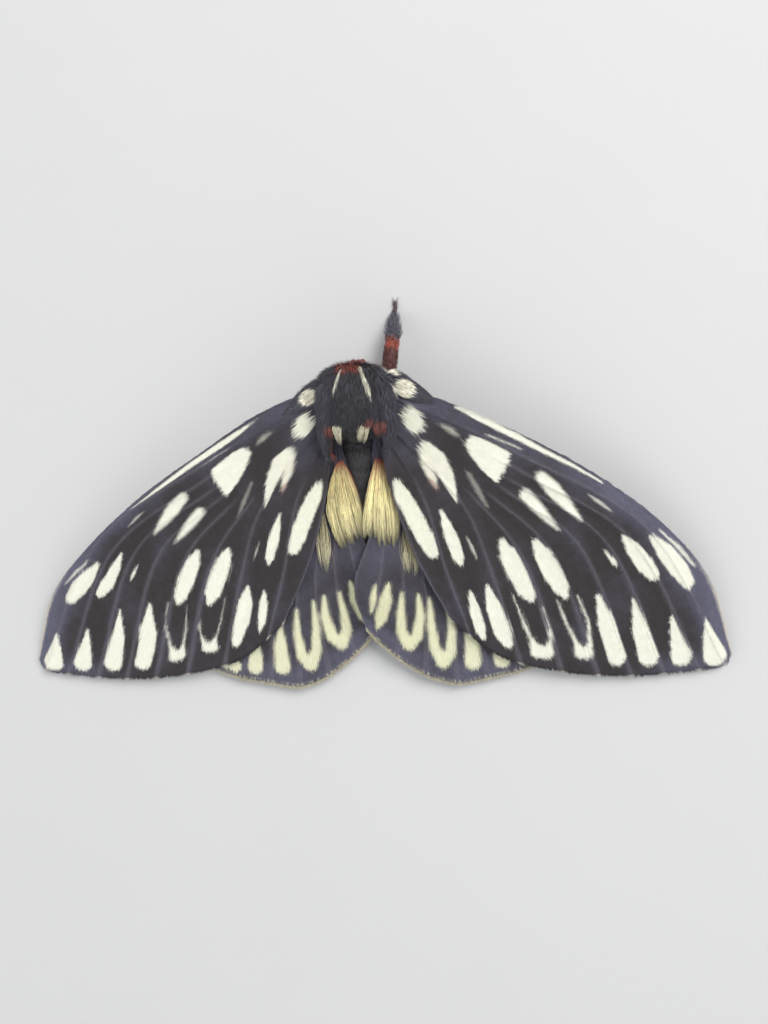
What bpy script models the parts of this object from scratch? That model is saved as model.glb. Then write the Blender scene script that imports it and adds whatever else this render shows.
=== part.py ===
"""Citheronia vogleri, a large black and cream moth, at rest with its wings spread back over its body.

Life size, in metres. +Y points to the head, +X to the moth's own right, +Z up off the floor at z = 0.
Plan sizes are given in the moth's own millimetres and brought to metres by MM. The body's centre line is
x = 0, and the whole moth is moved along Y so that the middle of its box is the origin.
"""

import math
import random

import bmesh
import bpy
from mathutils import Vector

# Driving sizes, in millimetres
MM = 0.001
BOX_CENTRE_Y = 2.5
GAP = 0.3
WING_THICKNESS = 0.55
VEIN_HEIGHT = 0.25
VEIN_HALF_WIDTH = 0.2
WING_ROOT_HEIGHT = 10.5
WING_ROOT_X = 5.0
WING_ROOT_Y = 14.0
ROOF_SLOPE = 0.05
REAR_SLOPE = 0.165
FORE_STATIONS = 15
HIND_STATIONS = 12

# The front edge rolls down over this many lines, fully so from this share of its length
COSTA_ROLL = 0.7
ROLL_LINES = 1.5
ROLL_FULL = 0.625

# The hind wings lie below the fore wings, more so at the root, and ride over the abdomen near the midline,
# where the left one lies a step lower. Each pair is the plan range, in X or Y, over which a form comes in.
HIND_DROP = 1.2
HIND_ROOT_DROP = 1.05
ROOT_DROP_FROM_Y = (-12, 2)
BODY_HUMP = 1.3
BODY_HUMP_WIDTH = 4.0
BODY_HUMP_FROM_Y = (-19, -12)
MIDLINE_STEP = 1.3
STEP_ENDS_AT_X = (3.5, 9)
STEP_ENDS_AT_Y = (3, 8)
HIND_SWING = math.radians(1.55)
HIND_HINGE = (5.5, 12.0)

# Wing lines from the front edge to the inner edge, each from root to margin in plan: name, start of the
# raised vein as a share of its length (None where there is only a fold), points
FORE_LINES = (
    ("costa", 0.0,
     ((4.2, 18.8), (14.3, 14.8), (24.0, 9.4), (34.0, 4.1), (43.3, -3.3), (50.1, -11.7), (53.9, -21.6))),
    ("radius", 0.0, ((4.2, 17.6), (23.0, 8.2), (41.6, -3.6), (53.0, -23.9))),
    ("r5", 0.3, ((4.2, 16.9), (22.2, 6.4), (39.0, -4.8), (49.2, -24.6))),
    ("m1", 0.33, ((4.2, 16.3), (21.2, 4.9), (35.3, -5.0), (44.1, -25.1))),
    ("m2", 0.33, ((4.2, 15.7), (20.0, 3.8), (31.6, -5.6), (39.3, -25.3))),
    ("m3", 0.33, ((4.2, 15.1), (18.6, 2.7), (27.6, -6.6), (34.4, -25.1))),
    ("cua1", 0.3, ((4.2, 14.5), (16.6, 2.0), (23.6, -7.6), (29.0, -24.4))),
    ("cua2", 0.0, ((4.2, 13.7), (14.4, 1.9), (18.6, -8.4), (22.8, -22.9))),
    ("fold", None, ((4.2, 12.8), (12.4, 2.4), (15.9, -8.4), (19.0, -21.1))),
    ("anal", 0.0, ((4.2, 11.6), (9.2, 2.6), (12.0, -8.0), (15.3, -18.2))),
    ("inner", 0.0, ((3.6, 9.8), (4.9, 2.8), (8.0, -6.6), (12.6, -15.8))),
)
HIND_LINES = (
    ("costa", 0.0, ((4.2, 13.4), (17.5, 1.5), (25.0, -10.0), (26.6, -21.0))),
    ("radius", 0.0, ((4.0, 13.0), (15.5, -0.2), (22.4, -11.6), (25.6, -23.4))),
    ("m1", 0.3, ((3.8, 12.7), (13.2, -1.6), (18.6, -13.0), (21.6, -25.1))),
    ("m2", 0.33, ((3.6, 12.4), (11.2, -2.6), (15.0, -13.8), (17.0, -26.0))),
    ("m3", 0.33, ((3.4, 12.2), (9.2, -3.2), (11.6, -14.0), (12.3, -26.7))),
    ("cua1", 0.3, ((3.2, 12.0), (7.2, -3.6), (8.4, -13.6), (7.5, -25.0))),
    ("cua2", 0.0, ((3.0, 11.8), (4.9, -3.6), (5.0, -12.6), (3.3, -21.8))),
    ("anal", 0.0, ((2.7, 11.7), (2.8, -2.8), (1.4, -11.2), (0.3, -18.7))),
    ("inner", 0.0, ((2.4, 11.6), (0.9, -1.8), (-2.0, -9.8), (-1.0, -17.0))),
)

# Body forms, front to rear: centre line points, half widths, half heights
THORAX = (
    ((0, 21.5, 9.6), (0, 20.6, 9.6), (0, 16.6, 8.9), (0, 12.8, 8.2), (0, 11.0, 7.9)),
    (0.0, 4.2, 5.4, 4.5, 0.0),
    (0.0, 3.6, 5.7, 4.7, 0.0),
)
ABDOMEN = (
    ((0, 13.4, 5.9), (0, 11.6, 5.6), (0, 7.5, 4.7), (0, 2.5, 3.7), (0, -2.5, 3.1), (0, -7.0, 2.8),
     (0, -9.8, 2.6)),
    (0.0, 3.3, 3.7, 3.4, 3.0, 2.2, 0.0),
    (0.0, 3.1, 3.1, 2.7, 2.5, 2.0, 0.0),
)
HEAD = (
    ((0, 22.3, 4.2), (0, 21.9, 4.6), (0, 20.8, 5.6), (0, 19.5, 6.5), (0, 18.9, 6.9)),
    (0.0, 1.5, 2.4, 1.9, 0.0),
    (0.0, 1.2, 2.0, 1.6, 0.0),
)
ABDOMEN_RINGS = 27
RINGS_A_SEGMENT = 3
SEGMENT_PINCH = 0.07
GROOVED_PART = (0.1, 0.95)
EYE_CENTRE = (2.0, 21.0, 5.3)
EYE_RADIUS = 1.15
EYE_DETAIL = 3

# Faces round and along each body form, and how much a form is swollen to cut its neighbours clear
BODY_FACES = {"thorax": (24, 16), "abdomen": (18, ABDOMEN_RINGS), "head": (16, 12)}
CLEARANCE = GAP * 1.15

# Limbs of the right side, base to tip
ANTENNA_PATH = ((1.1, 20.9, 6.6), (2.8, 21.9, 6.9), (5.6, 20.6, 6.5), (9.2, 17.4, 6.2), (12.6, 13.8, 6.2))
ANTENNA_RADII = (0.3, 0.45, 0.45, 0.4, 0.3)
LEG_PATHS = {
    "leg_front_right": ((3.0, 18.0, 5.6), (4.3, 20.6, 4.2), (5.1, 24.6, 4.4), (5.3, 27.6, 2.6),
                        (5.4, 29.6, 0.5), (5.5, 31.9, 0.25)),
    "leg_front_left": ((3.0, 18.0, 5.6), (4.4, 19.2, 4.0), (6.4, 19.6, 3.6), (8.4, 18.0, 2.0),
                       (9.6, 16.4, 0.5), (10.9, 14.6, 0.25)),
    "leg_mid": ((2.8, 15.2, 5.2), (5.6, 15.2, 4.0), (8.8, 14.0, 4.6), (11.4, 11.4, 2.4), (12.6, 9.6, 0.5),
                (13.6, 7.6, 0.25)),
    "leg_hind": ((2.8, 13.4, 5.2), (5.2, 11.6, 3.6), (7.6, 8.6, 4.2), (9.4, 5.0, 2.2), (10.2, 2.8, 0.5),
                 (10.8, 0.6, 0.25)),
}
LEG_RADII = (0.9, 0.95, 0.75, 0.7, 0.42, 0.38)
LIMB_SIDES = 8
LIMB_RINGS = 18
BLUNT_RINGS = 4.5

# One lock of hair: its faces, and its width and thickness from root to tip as shares of the full ones
LOCK_SIDES = 5
LOCK_RINGS = 5
LOCK_WIDTHS = (0.0, 0.8, 1.0, 0.7, 0.0)
LOCK_HEIGHTS = (0.0, 1.0, 1.0, 0.7, 0.0)
SEED = 5

# Yellow hair brush on the base of each hind wing: tiers of locks, as number, lift off the wing, share of
# the full length, and half width. A raised tier's locks lie between those of the tier below.
BRUSH_ROOTS = ((2.7, 8.9), (4.3, 7.9))
BRUSH_TIPS = ((1.1, -3.2), (5.4, -4.9))
BRUSH_TIERS = ((7, 0.1, 1.0, 0.5), (6, 0.45, 0.86, 0.5))
BRUSH_RAISED = 0.2
BRUSH_ROOT_LIFT = -0.15
BRUSH_TIP_LIFT = 0.6
BRUSH_HALF_THICKNESS = 0.27
BRUSH_BELLY = 1.5
BRUSH_BELLY_FROM = 0.25
BRUSH_BOW = 0.9
BRUSH_RAGGED = 0.4
SIDE_STREAK = ((5.3, 3.0), (5.9, -3.0), (6.6, -9.2))
SIDE_STREAK_LIFTS = (-0.1, 0.05, 0.0)
SIDE_STREAK_HALF_WIDTH = 0.45

# Thorax coat: rows of locks from front to rear, as share of the body's length, number and spread in degrees
COAT_ROWS = ((0.2, 5, 46), (0.31, 7, 58), (0.42, 8, 60), (0.53, 7, 56), (0.64, 6, 50), (0.75, 5, 44))
COAT_REACH = 0.15
COAT_REACH_RANGE = (0.9, 1.2)
COAT_END = 0.93
COAT_TURN = 2
COAT_SWAY = 4
COAT_ROOT_LIFT = -0.35
COAT_MIDDLE_LIFT = 0.35
COAT_LIFT = 0.5
COAT_HALF_WIDTH = 0.85
COAT_HALF_THICKNESS = 0.3

# Shoulder tufts: share of the body's length, degrees from the top, and how far out each reaches
SHOULDER_LOCKS = ((0.26, 48, 5.2), (0.35, 53, 5.8), (0.45, 55, 6.0), (0.55, 55, 5.7))
SHOULDER_ROOT_LIFT = -0.4
SHOULDER_REACH = 0.2
SHOULDER_HEIGHT = 1.1
SHOULDER_BEND = (0.3, 0.0, 0.35)
SHOULDER_HALF_WIDTH = 0.9
SHOULDER_HALF_THICKNESS = 0.3

# Red collar: Y and height of its roots and tips at the midline, and how far they fall away beside it
COLLAR_LOCKS = 5
COLLAR_HALF_SPREAD = 1.7
COLLAR_FLARE = 1.2
COLLAR_ROOT = (20.6, 12.4)
COLLAR_ROOT_FALL = 0.1
COLLAR_TIP = (21.7, 13.5)
COLLAR_TIP_FALL = 0.2
COLLAR_HALF_WIDTH = 0.45
COLLAR_HALF_THICKNESS = 0.28

# Side of the floor block and its depth, distance below which vertices are one, in metres, and the share of
# a path on either side of a place that gives its direction there
FLOOR_BLOCK = (80, 10)
WELD = 1e-7
PATH_STEP = 0.01

# Colour and roughness of each kind of piece
FINISHES = {
    "forewing": ((0.03, 0.028, 0.032), 0.8),
    "hindwing": ((0.03, 0.028, 0.032), 0.8),
    "thorax": ((0.08, 0.075, 0.085), 0.9),
    "abdomen": ((0.03, 0.028, 0.032), 0.85),
    "head": ((0.45, 0.08, 0.03), 0.85),
    "eye": ((0.02, 0.012, 0.01), 0.2),
    "antenna": ((0.02, 0.012, 0.01), 0.6),
    "leg": ((0.08, 0.075, 0.085), 0.85),
}


def through(points, t):
    """Point at share t of the smooth curve through evenly spaced points."""
    last = len(points) - 1
    i = min(int(t * last), last - 1)
    w = t * last - i
    p1, p2 = points[i], points[i + 1]
    p0 = points[i - 1] if i > 0 else 2 * p1 - p2
    p3 = points[i + 2] if i + 2 <= last else 2 * p2 - p1
    cubic = (3 * p1 - p0 - 3 * p2 + p3) * w ** 3
    square = (2 * p0 - 5 * p1 + 4 * p2 - p3) * w ** 2
    return (2 * p1 + (p2 - p0) * w + square + cubic) * 0.5


def smooth_step(low, high, value):
    """Share from 0 at low to 1 at high, level at both ends."""
    t = min(max((value - low) / (high - low), 0.0), 1.0)
    return t * t * (3 - 2 * t)


def fore_height(x, y):
    """Height of the fore wings' upper surface at a place in plan."""
    return WING_ROOT_HEIGHT - ROOF_SLOPE * (x - WING_ROOT_X) + REAR_SLOPE * (y - WING_ROOT_Y)


def hind_height(x, y):
    """Height of the right hind wing's upper surface, which rides up over the abdomen."""
    drop = HIND_DROP + HIND_ROOT_DROP * smooth_step(*ROOT_DROP_FROM_Y, y)
    hump = BODY_HUMP * math.exp(-(x / BODY_HUMP_WIDTH) ** 2) * smooth_step(*BODY_HUMP_FROM_Y, y)
    return fore_height(x, y) - drop + hump


def left_hind_height(x, y):
    """Height of the left hind wing, whose inner edge lies beneath the right one's."""
    beside = 1 - smooth_step(*STEP_ENDS_AT_X, x)
    behind = 1 - smooth_step(*STEP_ENDS_AT_Y, y)
    return hind_height(x, y) - MIDLINE_STEP * beside * behind


def swung(x, y, angle):
    """Plan point turned about the hind wing's hinge."""
    dx, dy = x - HIND_HINGE[0], y - HIND_HINGE[1]
    turned_x = dx * math.cos(angle) - dy * math.sin(angle)
    turned_y = dx * math.sin(angle) + dy * math.cos(angle)
    return HIND_HINGE[0] + turned_x, HIND_HINGE[1] + turned_y


def material(name, color, roughness):
    """Plain material of one colour."""
    made = bpy.data.materials.new(name)
    made.use_nodes = True
    shader = made.node_tree.nodes["Principled BSDF"]
    shader.inputs["Base Color"].default_value = (*color, 1.0)
    shader.inputs["Roughness"].default_value = roughness
    shader.inputs["Metallic"].default_value = 0.0
    return made


def place(bm, name, collection, side=1):
    """Turn a bmesh in the moth's millimetres into an object in metres, mirrored where side is -1."""
    for vert in bm.verts:
        vert.co = Vector((vert.co.x * side, vert.co.y - BOX_CENTRE_Y, vert.co.z)) * MM
    bm.normal_update()
    bmesh.ops.recalc_face_normals(bm, faces=bm.faces)
    mesh = bpy.data.meshes.new(name)
    bm.to_mesh(mesh)
    bm.free()
    made = bpy.data.objects.new(name, mesh)
    collection.objects.link(made)
    return made


def path_frame(spine, t):
    """Centre of a path at share t, with the directions across it and up from it."""
    ahead = through(spine, min(t + PATH_STEP, 1.0)) - through(spine, max(t - PATH_STEP, 0.0))
    across = ahead.cross(Vector((0, 0, 1))).normalized()
    return through(spine, t), across, across.cross(ahead).normalized()


def ring_point(sizes, t, angle, factor=1.0, lift=0.0):
    """Point on a swept form, at share t of its path and an angle from its right side, lifted off it."""
    path, half_widths, half_heights = sizes
    centre, across, up = path_frame([Vector(point) for point in path], t)
    width = across * math.cos(angle) * (through(half_widths, t) * factor + lift)
    height = up * math.sin(angle) * (through(half_heights, t) * factor + lift)
    return centre + width + height


def spindle(sizes, sides, rings, grow=0.0, groove=None):
    """Closed form swept along a smooth path, pinched to a point at both ends.

    Each ring is an ellipse across the path. groove takes a ring's share of the path and gives a factor
    on its size, and grow thickens the whole form.
    """
    bm = bmesh.new()
    bmesh.ops.create_uvsphere(bm, u_segments=sides, v_segments=rings, radius=1.0)
    for vert in bm.verts:
        t = math.acos(max(-1.0, min(1.0, vert.co.z))) / math.pi
        factor = groove(t) if groove else 1.0
        vert.co = ring_point(sizes, t, math.atan2(vert.co.y, vert.co.x), factor)
    bm.normal_update()
    bmesh.ops.recalc_face_normals(bm, faces=bm.faces)
    bm.normal_update()
    swollen = [(vert, vert.co + vert.normal * grow) for vert in bm.verts]
    for vert, moved in swollen:
        vert.co = moved
    return bm


def limb(path, radii):
    """Round limb along a path, with blunt ends."""
    spine = [Vector(point) for point in path]
    bm = bmesh.new()
    bmesh.ops.create_uvsphere(bm, u_segments=LIMB_SIDES, v_segments=LIMB_RINGS, radius=1.0)
    for vert in bm.verts:
        t = math.acos(max(-1.0, min(1.0, vert.co.z))) / math.pi
        centre, across, up = path_frame(spine, t)
        blunt = min(1.0, math.sin(t * math.pi) * LIMB_RINGS / BLUNT_RINGS)
        radius = through(radii, t) * blunt
        angle = math.atan2(vert.co.y, vert.co.x)
        vert.co = centre + (across * math.cos(angle) + up * math.sin(angle)) * radius
    return bm


def segment_groove(t):
    """Factor that pinches the abdomen at each of its segments' joints."""
    at_joint = round(t * ABDOMEN_RINGS) % RINGS_A_SEGMENT == 0
    grooved = GROOVED_PART[0] < t < GROOVED_PART[1]
    return 1.0 - SEGMENT_PINCH if at_joint and grooved else 1.0


def wing_rows(count):
    """Places across the wing, in lines: each line, and a place close on either side of it."""
    rows = []
    for line in range(count - 1):
        rows += [line, line + VEIN_HALF_WIDTH, line + 1 - VEIN_HALF_WIDTH]
    return rows + [count - 1]


def wing(lines, stations, height, angle=0.0, roll=0.0):
    """Thin closed wing over a fan of lines, with its veins raised in the upper surface."""
    curves = [[Vector(point) for point in line[2]] for line in lines]
    rows = wing_rows(len(lines))
    bm = bmesh.new()
    bmesh.ops.create_grid(bm, x_segments=stations, y_segments=len(rows) - 1, size=0.5)
    raised = {}
    for vert in bm.verts:
        u = round((vert.co.x + 0.5) * stations) / stations
        row = rows[round((vert.co.y + 0.5) * (len(rows) - 1))]
        place_in_plan = through([through(curve, u) for curve in curves], row / (len(lines) - 1))
        x, y = swung(*place_in_plan, angle)
        rolled = max(0.0, 1.0 - row / ROLL_LINES) ** 2 * math.sin(math.pi / 2 * min(u / ROLL_FULL, 1.0))
        vert.co = Vector((x, y, height(x, y) - roll * rolled))
        start = lines[int(row)][1] if row == int(row) else None
        raised[vert] = VEIN_HEIGHT if start is not None and u >= start else 0.0
    bmesh.ops.triangulate(bm, faces=bm.faces, quad_method="FIXED")
    upper = list(bm.verts)
    made = bmesh.ops.extrude_face_region(bm, geom=bm.faces[:], use_keep_orig=True)
    for item in made["geom"]:
        if isinstance(item, bmesh.types.BMVert):
            item.co.z -= WING_THICKNESS
    for vert in upper:
        vert.co.z += raised[vert]
    return bm


def lock(root, middle, tip, half_width, half_thickness):
    """Flat tapered lock of hair from its root to its tip."""
    widths = [half_width * share for share in LOCK_WIDTHS]
    heights = [half_thickness * share for share in LOCK_HEIGHTS]
    quarter = (Vector(root) + Vector(middle)) / 2
    three = (Vector(middle) + Vector(tip)) / 2
    return spindle(((root, quarter, middle, three, tip), widths, heights), LOCK_SIDES, LOCK_RINGS)


def evaluated_copy(source, name):
    """New mesh of an object with its modifiers applied."""
    depsgraph = bpy.context.evaluated_depsgraph_get()
    mesh = bpy.data.meshes.new_from_object(source.evaluated_get(depsgraph))
    mesh.name = name
    return mesh


def keep_largest(mesh):
    """Keep only the largest closed surface of a mesh, in triangles."""
    bm = bmesh.new()
    bm.from_mesh(mesh)
    bmesh.ops.remove_doubles(bm, verts=bm.verts, dist=WELD)
    bmesh.ops.triangulate(bm, faces=bm.faces)
    unseen = set(bm.faces)
    pieces = []
    while unseen:
        stack = [unseen.pop()]
        piece = set(stack)
        while stack:
            for edge in stack.pop().edges:
                for face in edge.link_faces if len(edge.link_faces) == 2 else ():
                    if face in unseen:
                        unseen.discard(face)
                        piece.add(face)
                        stack.append(face)
        pieces.append(piece)
    largest = max(pieces, key=lambda piece: sum(face.calc_area() for face in piece))
    bmesh.ops.delete(bm, geom=[face for face in bm.faces if face not in largest], context="FACES")
    loose = [vert for vert in bm.verts if not vert.link_faces]
    bmesh.ops.delete(bm, geom=loose, context="VERTS")
    bm.to_mesh(mesh)
    bm.free()


def apply_modifiers(target):
    """Bake a node's modifiers into its mesh and keep its largest closed surface."""
    mesh = evaluated_copy(target, target.name)
    target.modifiers.clear()
    target.data = mesh
    keep_largest(mesh)


def cut(target, *cutters):
    """Cut a node clear of each cutter."""
    for cutter in cutters:
        boolean = target.modifiers.new("clear_" + cutter.name, "BOOLEAN")
        boolean.operation = "DIFFERENCE"
        boolean.solver = "EXACT"
        boolean.object = cutter
    apply_modifiers(target)


def join(target, pieces):
    """Fuse a collection's closed pieces into a node, then remove them."""
    boolean = target.modifiers.new("joined", "BOOLEAN")
    boolean.operation = "UNION"
    boolean.solver = "EXACT"
    boolean.operand_type = "COLLECTION"
    boolean.collection = pieces
    apply_modifiers(target)
    for piece in list(pieces.objects):
        bpy.data.objects.remove(piece, do_unlink=True)
    bpy.data.collections.remove(pieces)


def collection(name):
    """New collection in the scene."""
    made = bpy.data.collections.new(name)
    bpy.context.scene.collection.children.link(made)
    return made


def as_cutter(made):
    """Show a cutting form as wire only."""
    made.hide_render = True
    made.display_type = "WIRE"
    return made


def floor_block(cutters):
    """Block below the floor that trims the feet to small flats."""
    side, depth = FLOOR_BLOCK
    bm = bmesh.new()
    bmesh.ops.create_cube(bm, size=1.0)
    for vert in bm.verts:
        vert.co = Vector((vert.co.x * side, vert.co.y * side, (vert.co.z - 0.5) * depth))
    return as_cutter(place(bm, "floor_block", cutters))


def wings(moth, clear):
    """Both pairs of wings, cut clear of the body at their roots."""
    hind_tilt = {1: HIND_SWING, -1: -HIND_SWING}
    hind_surface = {1: hind_height, -1: left_hind_height}
    for side, word in ((1, "right"), (-1, "left")):
        form = wing(FORE_LINES, FORE_STATIONS, fore_height, roll=COSTA_ROLL)
        fore = place(form, "forewing_" + word, moth, side)
        cut(fore, clear["thorax"])
        form = wing(HIND_LINES, HIND_STATIONS, hind_surface[side], hind_tilt[side])
        hind = place(form, "hindwing_" + word, moth, side)
        brush(hind, word, side, hind_surface[side], hind_tilt[side])
        cut(hind, clear["thorax"], clear["abdomen"])


def brush(hind, word, side, height, angle):
    """Fan of flat yellow locks on the base of a hind wing, with one streak beside the fore wing's edge."""
    pieces = collection("brush_" + word)

    def on_wing(plan, lift):
        x, y = swung(*plan, angle)
        return Vector((x, y, height(x, y) + lift))

    for number, lift, length, half_width in BRUSH_TIERS:
        raised = lift > BRUSH_RAISED
        for i in range(number):
            share = (i + 0.5 * raised) / (number - 1 + raised)
            root = Vector(BRUSH_ROOTS[0]).lerp(Vector(BRUSH_ROOTS[1]), share)
            full_tip = Vector(BRUSH_TIPS[0]).lerp(Vector(BRUSH_TIPS[1]), share)
            ragged = random.uniform(-BRUSH_RAGGED, BRUSH_RAGGED)
            full_tip.y -= BRUSH_BOW * math.sin(share * math.pi) + ragged
            tip = root.lerp(full_tip, length)
            middle = (root + tip) / 2
            middle.x += BRUSH_BELLY * (share - BRUSH_BELLY_FROM)
            route = on_wing(root, BRUSH_ROOT_LIFT), on_wing(middle, lift), on_wing(tip, lift * BRUSH_TIP_LIFT)
            place(lock(*route, half_width, BRUSH_HALF_THICKNESS), f"brush_{word}_{length}_{i}", pieces, side)
    route = [on_wing(plan, lift) for plan, lift in zip(SIDE_STREAK, SIDE_STREAK_LIFTS)]
    place(lock(*route, SIDE_STREAK_HALF_WIDTH, BRUSH_HALF_THICKNESS), "brush_streak_" + word, pieces, side)
    join(hind, pieces)


def thorax_coat(thorax):
    """Locks of fur that lie back over the thorax, its shoulder tufts and its red front collar."""
    pieces = collection("thorax_locks")
    for t, number, spread in COAT_ROWS:
        for i in range(number):
            share = i / (number - 1) * 2 - 1
            angle = math.radians(90 - share * spread + random.uniform(-COAT_TURN, COAT_TURN))
            reach = COAT_REACH * random.uniform(*COAT_REACH_RANGE)
            sway = math.radians(random.uniform(-COAT_SWAY, COAT_SWAY))
            root = ring_point(THORAX, t, angle, lift=COAT_ROOT_LIFT)
            middle = ring_point(THORAX, t + reach * 0.5, angle, lift=COAT_MIDDLE_LIFT)
            tip = ring_point(THORAX, min(t + reach, COAT_END), angle + sway, lift=COAT_LIFT)
            made = lock(root, middle, tip, COAT_HALF_WIDTH, COAT_HALF_THICKNESS)
            place(made, f"coat_{t}_{i}", pieces)
    for side in (1, -1):
        shoulder_tufts(pieces, side)
    collar(pieces)
    join(thorax, pieces)


def shoulder_tufts(pieces, side):
    """Locks that reach out from the thorax over the root of one fore wing."""
    for i, (t, spread, reach_x) in enumerate(SHOULDER_LOCKS):
        angle = math.radians(90 - spread)
        root = ring_point(THORAX, t, angle, lift=SHOULDER_ROOT_LIFT)
        root.x = abs(root.x)
        tip_y = ring_point(THORAX, t + SHOULDER_REACH, angle).y
        tip = Vector((reach_x, tip_y, fore_height(reach_x, tip_y) + SHOULDER_HEIGHT))
        middle = (root + tip) / 2 + Vector(SHOULDER_BEND)
        made = lock(root, middle, tip, SHOULDER_HALF_WIDTH, SHOULDER_HALF_THICKNESS)
        place(made, f"shoulder_{side}_{i}", pieces, side)


def collar(pieces):
    """Red locks that stand up at the front of the thorax."""
    for i in range(COLLAR_LOCKS):
        x = COLLAR_HALF_SPREAD * (i / (COLLAR_LOCKS - 1) * 2 - 1)
        root = Vector((x, COLLAR_ROOT[0], COLLAR_ROOT[1] - COLLAR_ROOT_FALL * x * x))
        tip = Vector((x * COLLAR_FLARE, COLLAR_TIP[0], COLLAR_TIP[1] - COLLAR_TIP_FALL * x * x))
        made = lock(root, (root + tip) / 2, tip, COLLAR_HALF_WIDTH, COLLAR_HALF_THICKNESS)
        place(made, f"collar_{i}", pieces)


def eye_ball(name, radius, group, side):
    """Ball at the place of one eye."""
    bm = bmesh.new()
    bmesh.ops.create_icosphere(bm, subdivisions=EYE_DETAIL, radius=radius)
    bmesh.ops.translate(bm, verts=bm.verts, vec=Vector(EYE_CENTRE))
    return place(bm, name, group, side)


def body(moth, cutters):
    """Thorax, abdomen, head and eyes; gives the swollen copies of the first three that clear others."""
    forms = {"thorax": THORAX, "abdomen": ABDOMEN, "head": HEAD}
    nodes, clear = {}, {}
    for name, sizes in forms.items():
        sides, rings = BODY_FACES[name]
        groove = segment_groove if name == "abdomen" else None
        nodes[name] = place(spindle(sizes, sides, rings, groove=groove), name, moth)
        swollen = spindle(sizes, sides, rings, grow=CLEARANCE)
        clear[name] = as_cutter(place(swollen, name + "_clear", cutters))
    sockets = []
    for side, word in ((1, "right"), (-1, "left")):
        eye = eye_ball("eye_" + word, EYE_RADIUS, moth, side)
        sockets.append(as_cutter(eye_ball("eye_clear_" + word, EYE_RADIUS + GAP, cutters, side)))
        cut(eye, clear["thorax"])
    thorax_coat(nodes["thorax"])
    cut(nodes["abdomen"], clear["thorax"])
    cut(nodes["head"], clear["thorax"], *sockets)
    return clear


def limbs(moth, clear, floor):
    """Antennae and six legs."""
    for side, word in ((1, "right"), (-1, "left")):
        feeler = place(limb(ANTENNA_PATH, ANTENNA_RADII), "antenna_" + word, moth, side)
        cut(feeler, clear["head"], clear["thorax"])
        for pair in ("front", "mid", "hind"):
            path = LEG_PATHS.get(f"leg_{pair}_{word}") or LEG_PATHS["leg_" + pair]
            leg = place(limb(path, LEG_RADII), f"leg_{pair}_{word}", moth, side)
            cut(leg, clear["thorax"], clear["abdomen"], floor)


def finish(moth):
    """Give each node its own plain material and smooth shading."""
    for made in moth.objects:
        color, roughness = FINISHES[made.name.split("_")[0]]
        made.data.materials.clear()
        made.data.materials.append(material(made.name, color, roughness))
        made.data.shade_smooth()


def main():
    """Clear the scene and build the moth."""
    for old in list(bpy.data.objects):
        bpy.data.objects.remove(old, do_unlink=True)
    random.seed(SEED)
    moth = collection("moth")
    cutters = collection("cutters")
    clear = body(moth, cutters)
    wings(moth, clear)
    limbs(moth, clear, floor_block(cutters))
    finish(moth)


main()
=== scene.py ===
"""Looks of Citheronia vogleri, a large charcoal moth with cream spots, at rest on the floor.

+Y points to the head, +X to the moth's own right, +Z up. Plan sizes are in the moth's own millimetres,
whose centre line is x = 0, and `to_frame` brings them to the frame's metres. Wings, body and legs each have
a skin, and a coat of closed tapered tufts over it that takes its colours from the same markings.
"""

import logging
import math
from dataclasses import dataclass, field
from enum import Enum
from typing import Callable, Optional, Sequence

import bmesh
import bpy
import numpy as np
from mathutils import Matrix, Vector

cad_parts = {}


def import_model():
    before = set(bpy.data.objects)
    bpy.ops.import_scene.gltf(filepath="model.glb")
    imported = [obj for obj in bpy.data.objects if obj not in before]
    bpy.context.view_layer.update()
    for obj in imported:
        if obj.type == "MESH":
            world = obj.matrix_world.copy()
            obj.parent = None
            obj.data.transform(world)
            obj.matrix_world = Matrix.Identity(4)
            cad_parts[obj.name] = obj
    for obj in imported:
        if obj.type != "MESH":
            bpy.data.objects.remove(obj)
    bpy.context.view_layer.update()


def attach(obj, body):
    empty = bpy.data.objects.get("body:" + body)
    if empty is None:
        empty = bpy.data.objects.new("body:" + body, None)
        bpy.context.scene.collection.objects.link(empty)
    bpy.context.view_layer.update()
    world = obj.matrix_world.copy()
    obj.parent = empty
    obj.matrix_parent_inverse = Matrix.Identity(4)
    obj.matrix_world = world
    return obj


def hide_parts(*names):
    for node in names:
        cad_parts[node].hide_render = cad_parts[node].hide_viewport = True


LOG = logging.getLogger("moth")

Array = np.ndarray
Colour = tuple[float, float, float]
Places = dict[str, Array]
Surface = Callable[[Array, Array], Array]

# Frame: metres a millimetre, middle of the box in the moth's millimetres, upward direction, and the least
# height of a hair over the floor
MM = 0.001
BOX_CENTRE = (0.0, 2.5, 0.0)
UP = (0.0, 0.0, 1.0)
FLOOR_GAP = 0.02

# Seed of the random draws, least length that a vector is divided by, and a distance beyond the whole moth
SEED = 11
TINY = 1e-12
FAR = 1e3

# Unwrap of the coat: its name, the size of one tuft's patch, and the rim left free
BAKE_MAP = "OFBake"
BAKE_PATCH = 0.003
BAKE_MARGIN = 0.01

# Smooth noise: number of crossed waves, how much shorter and weaker each is than the last, and their sum
WAVE_COUNT = 6
WAVE_PACE = 1.45
WAVE_FADE = 1.25
WAVE_SUM = 2.4

# Sampling: steps for areas, slopes, the pitch of wing lines and the run of a centre line, tries for each
# place wanted, the percentile of the areas from which on a place is always kept, and points along a wing line
AREA_STEP = 1e-3
SLOPE_STEP = 2e-3
PITCH_STEP = 4e-3
SPINE_STEP = 0.01
TRIES = 4
FULL_AREA = 98
LINE_STEPS = 400

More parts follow.
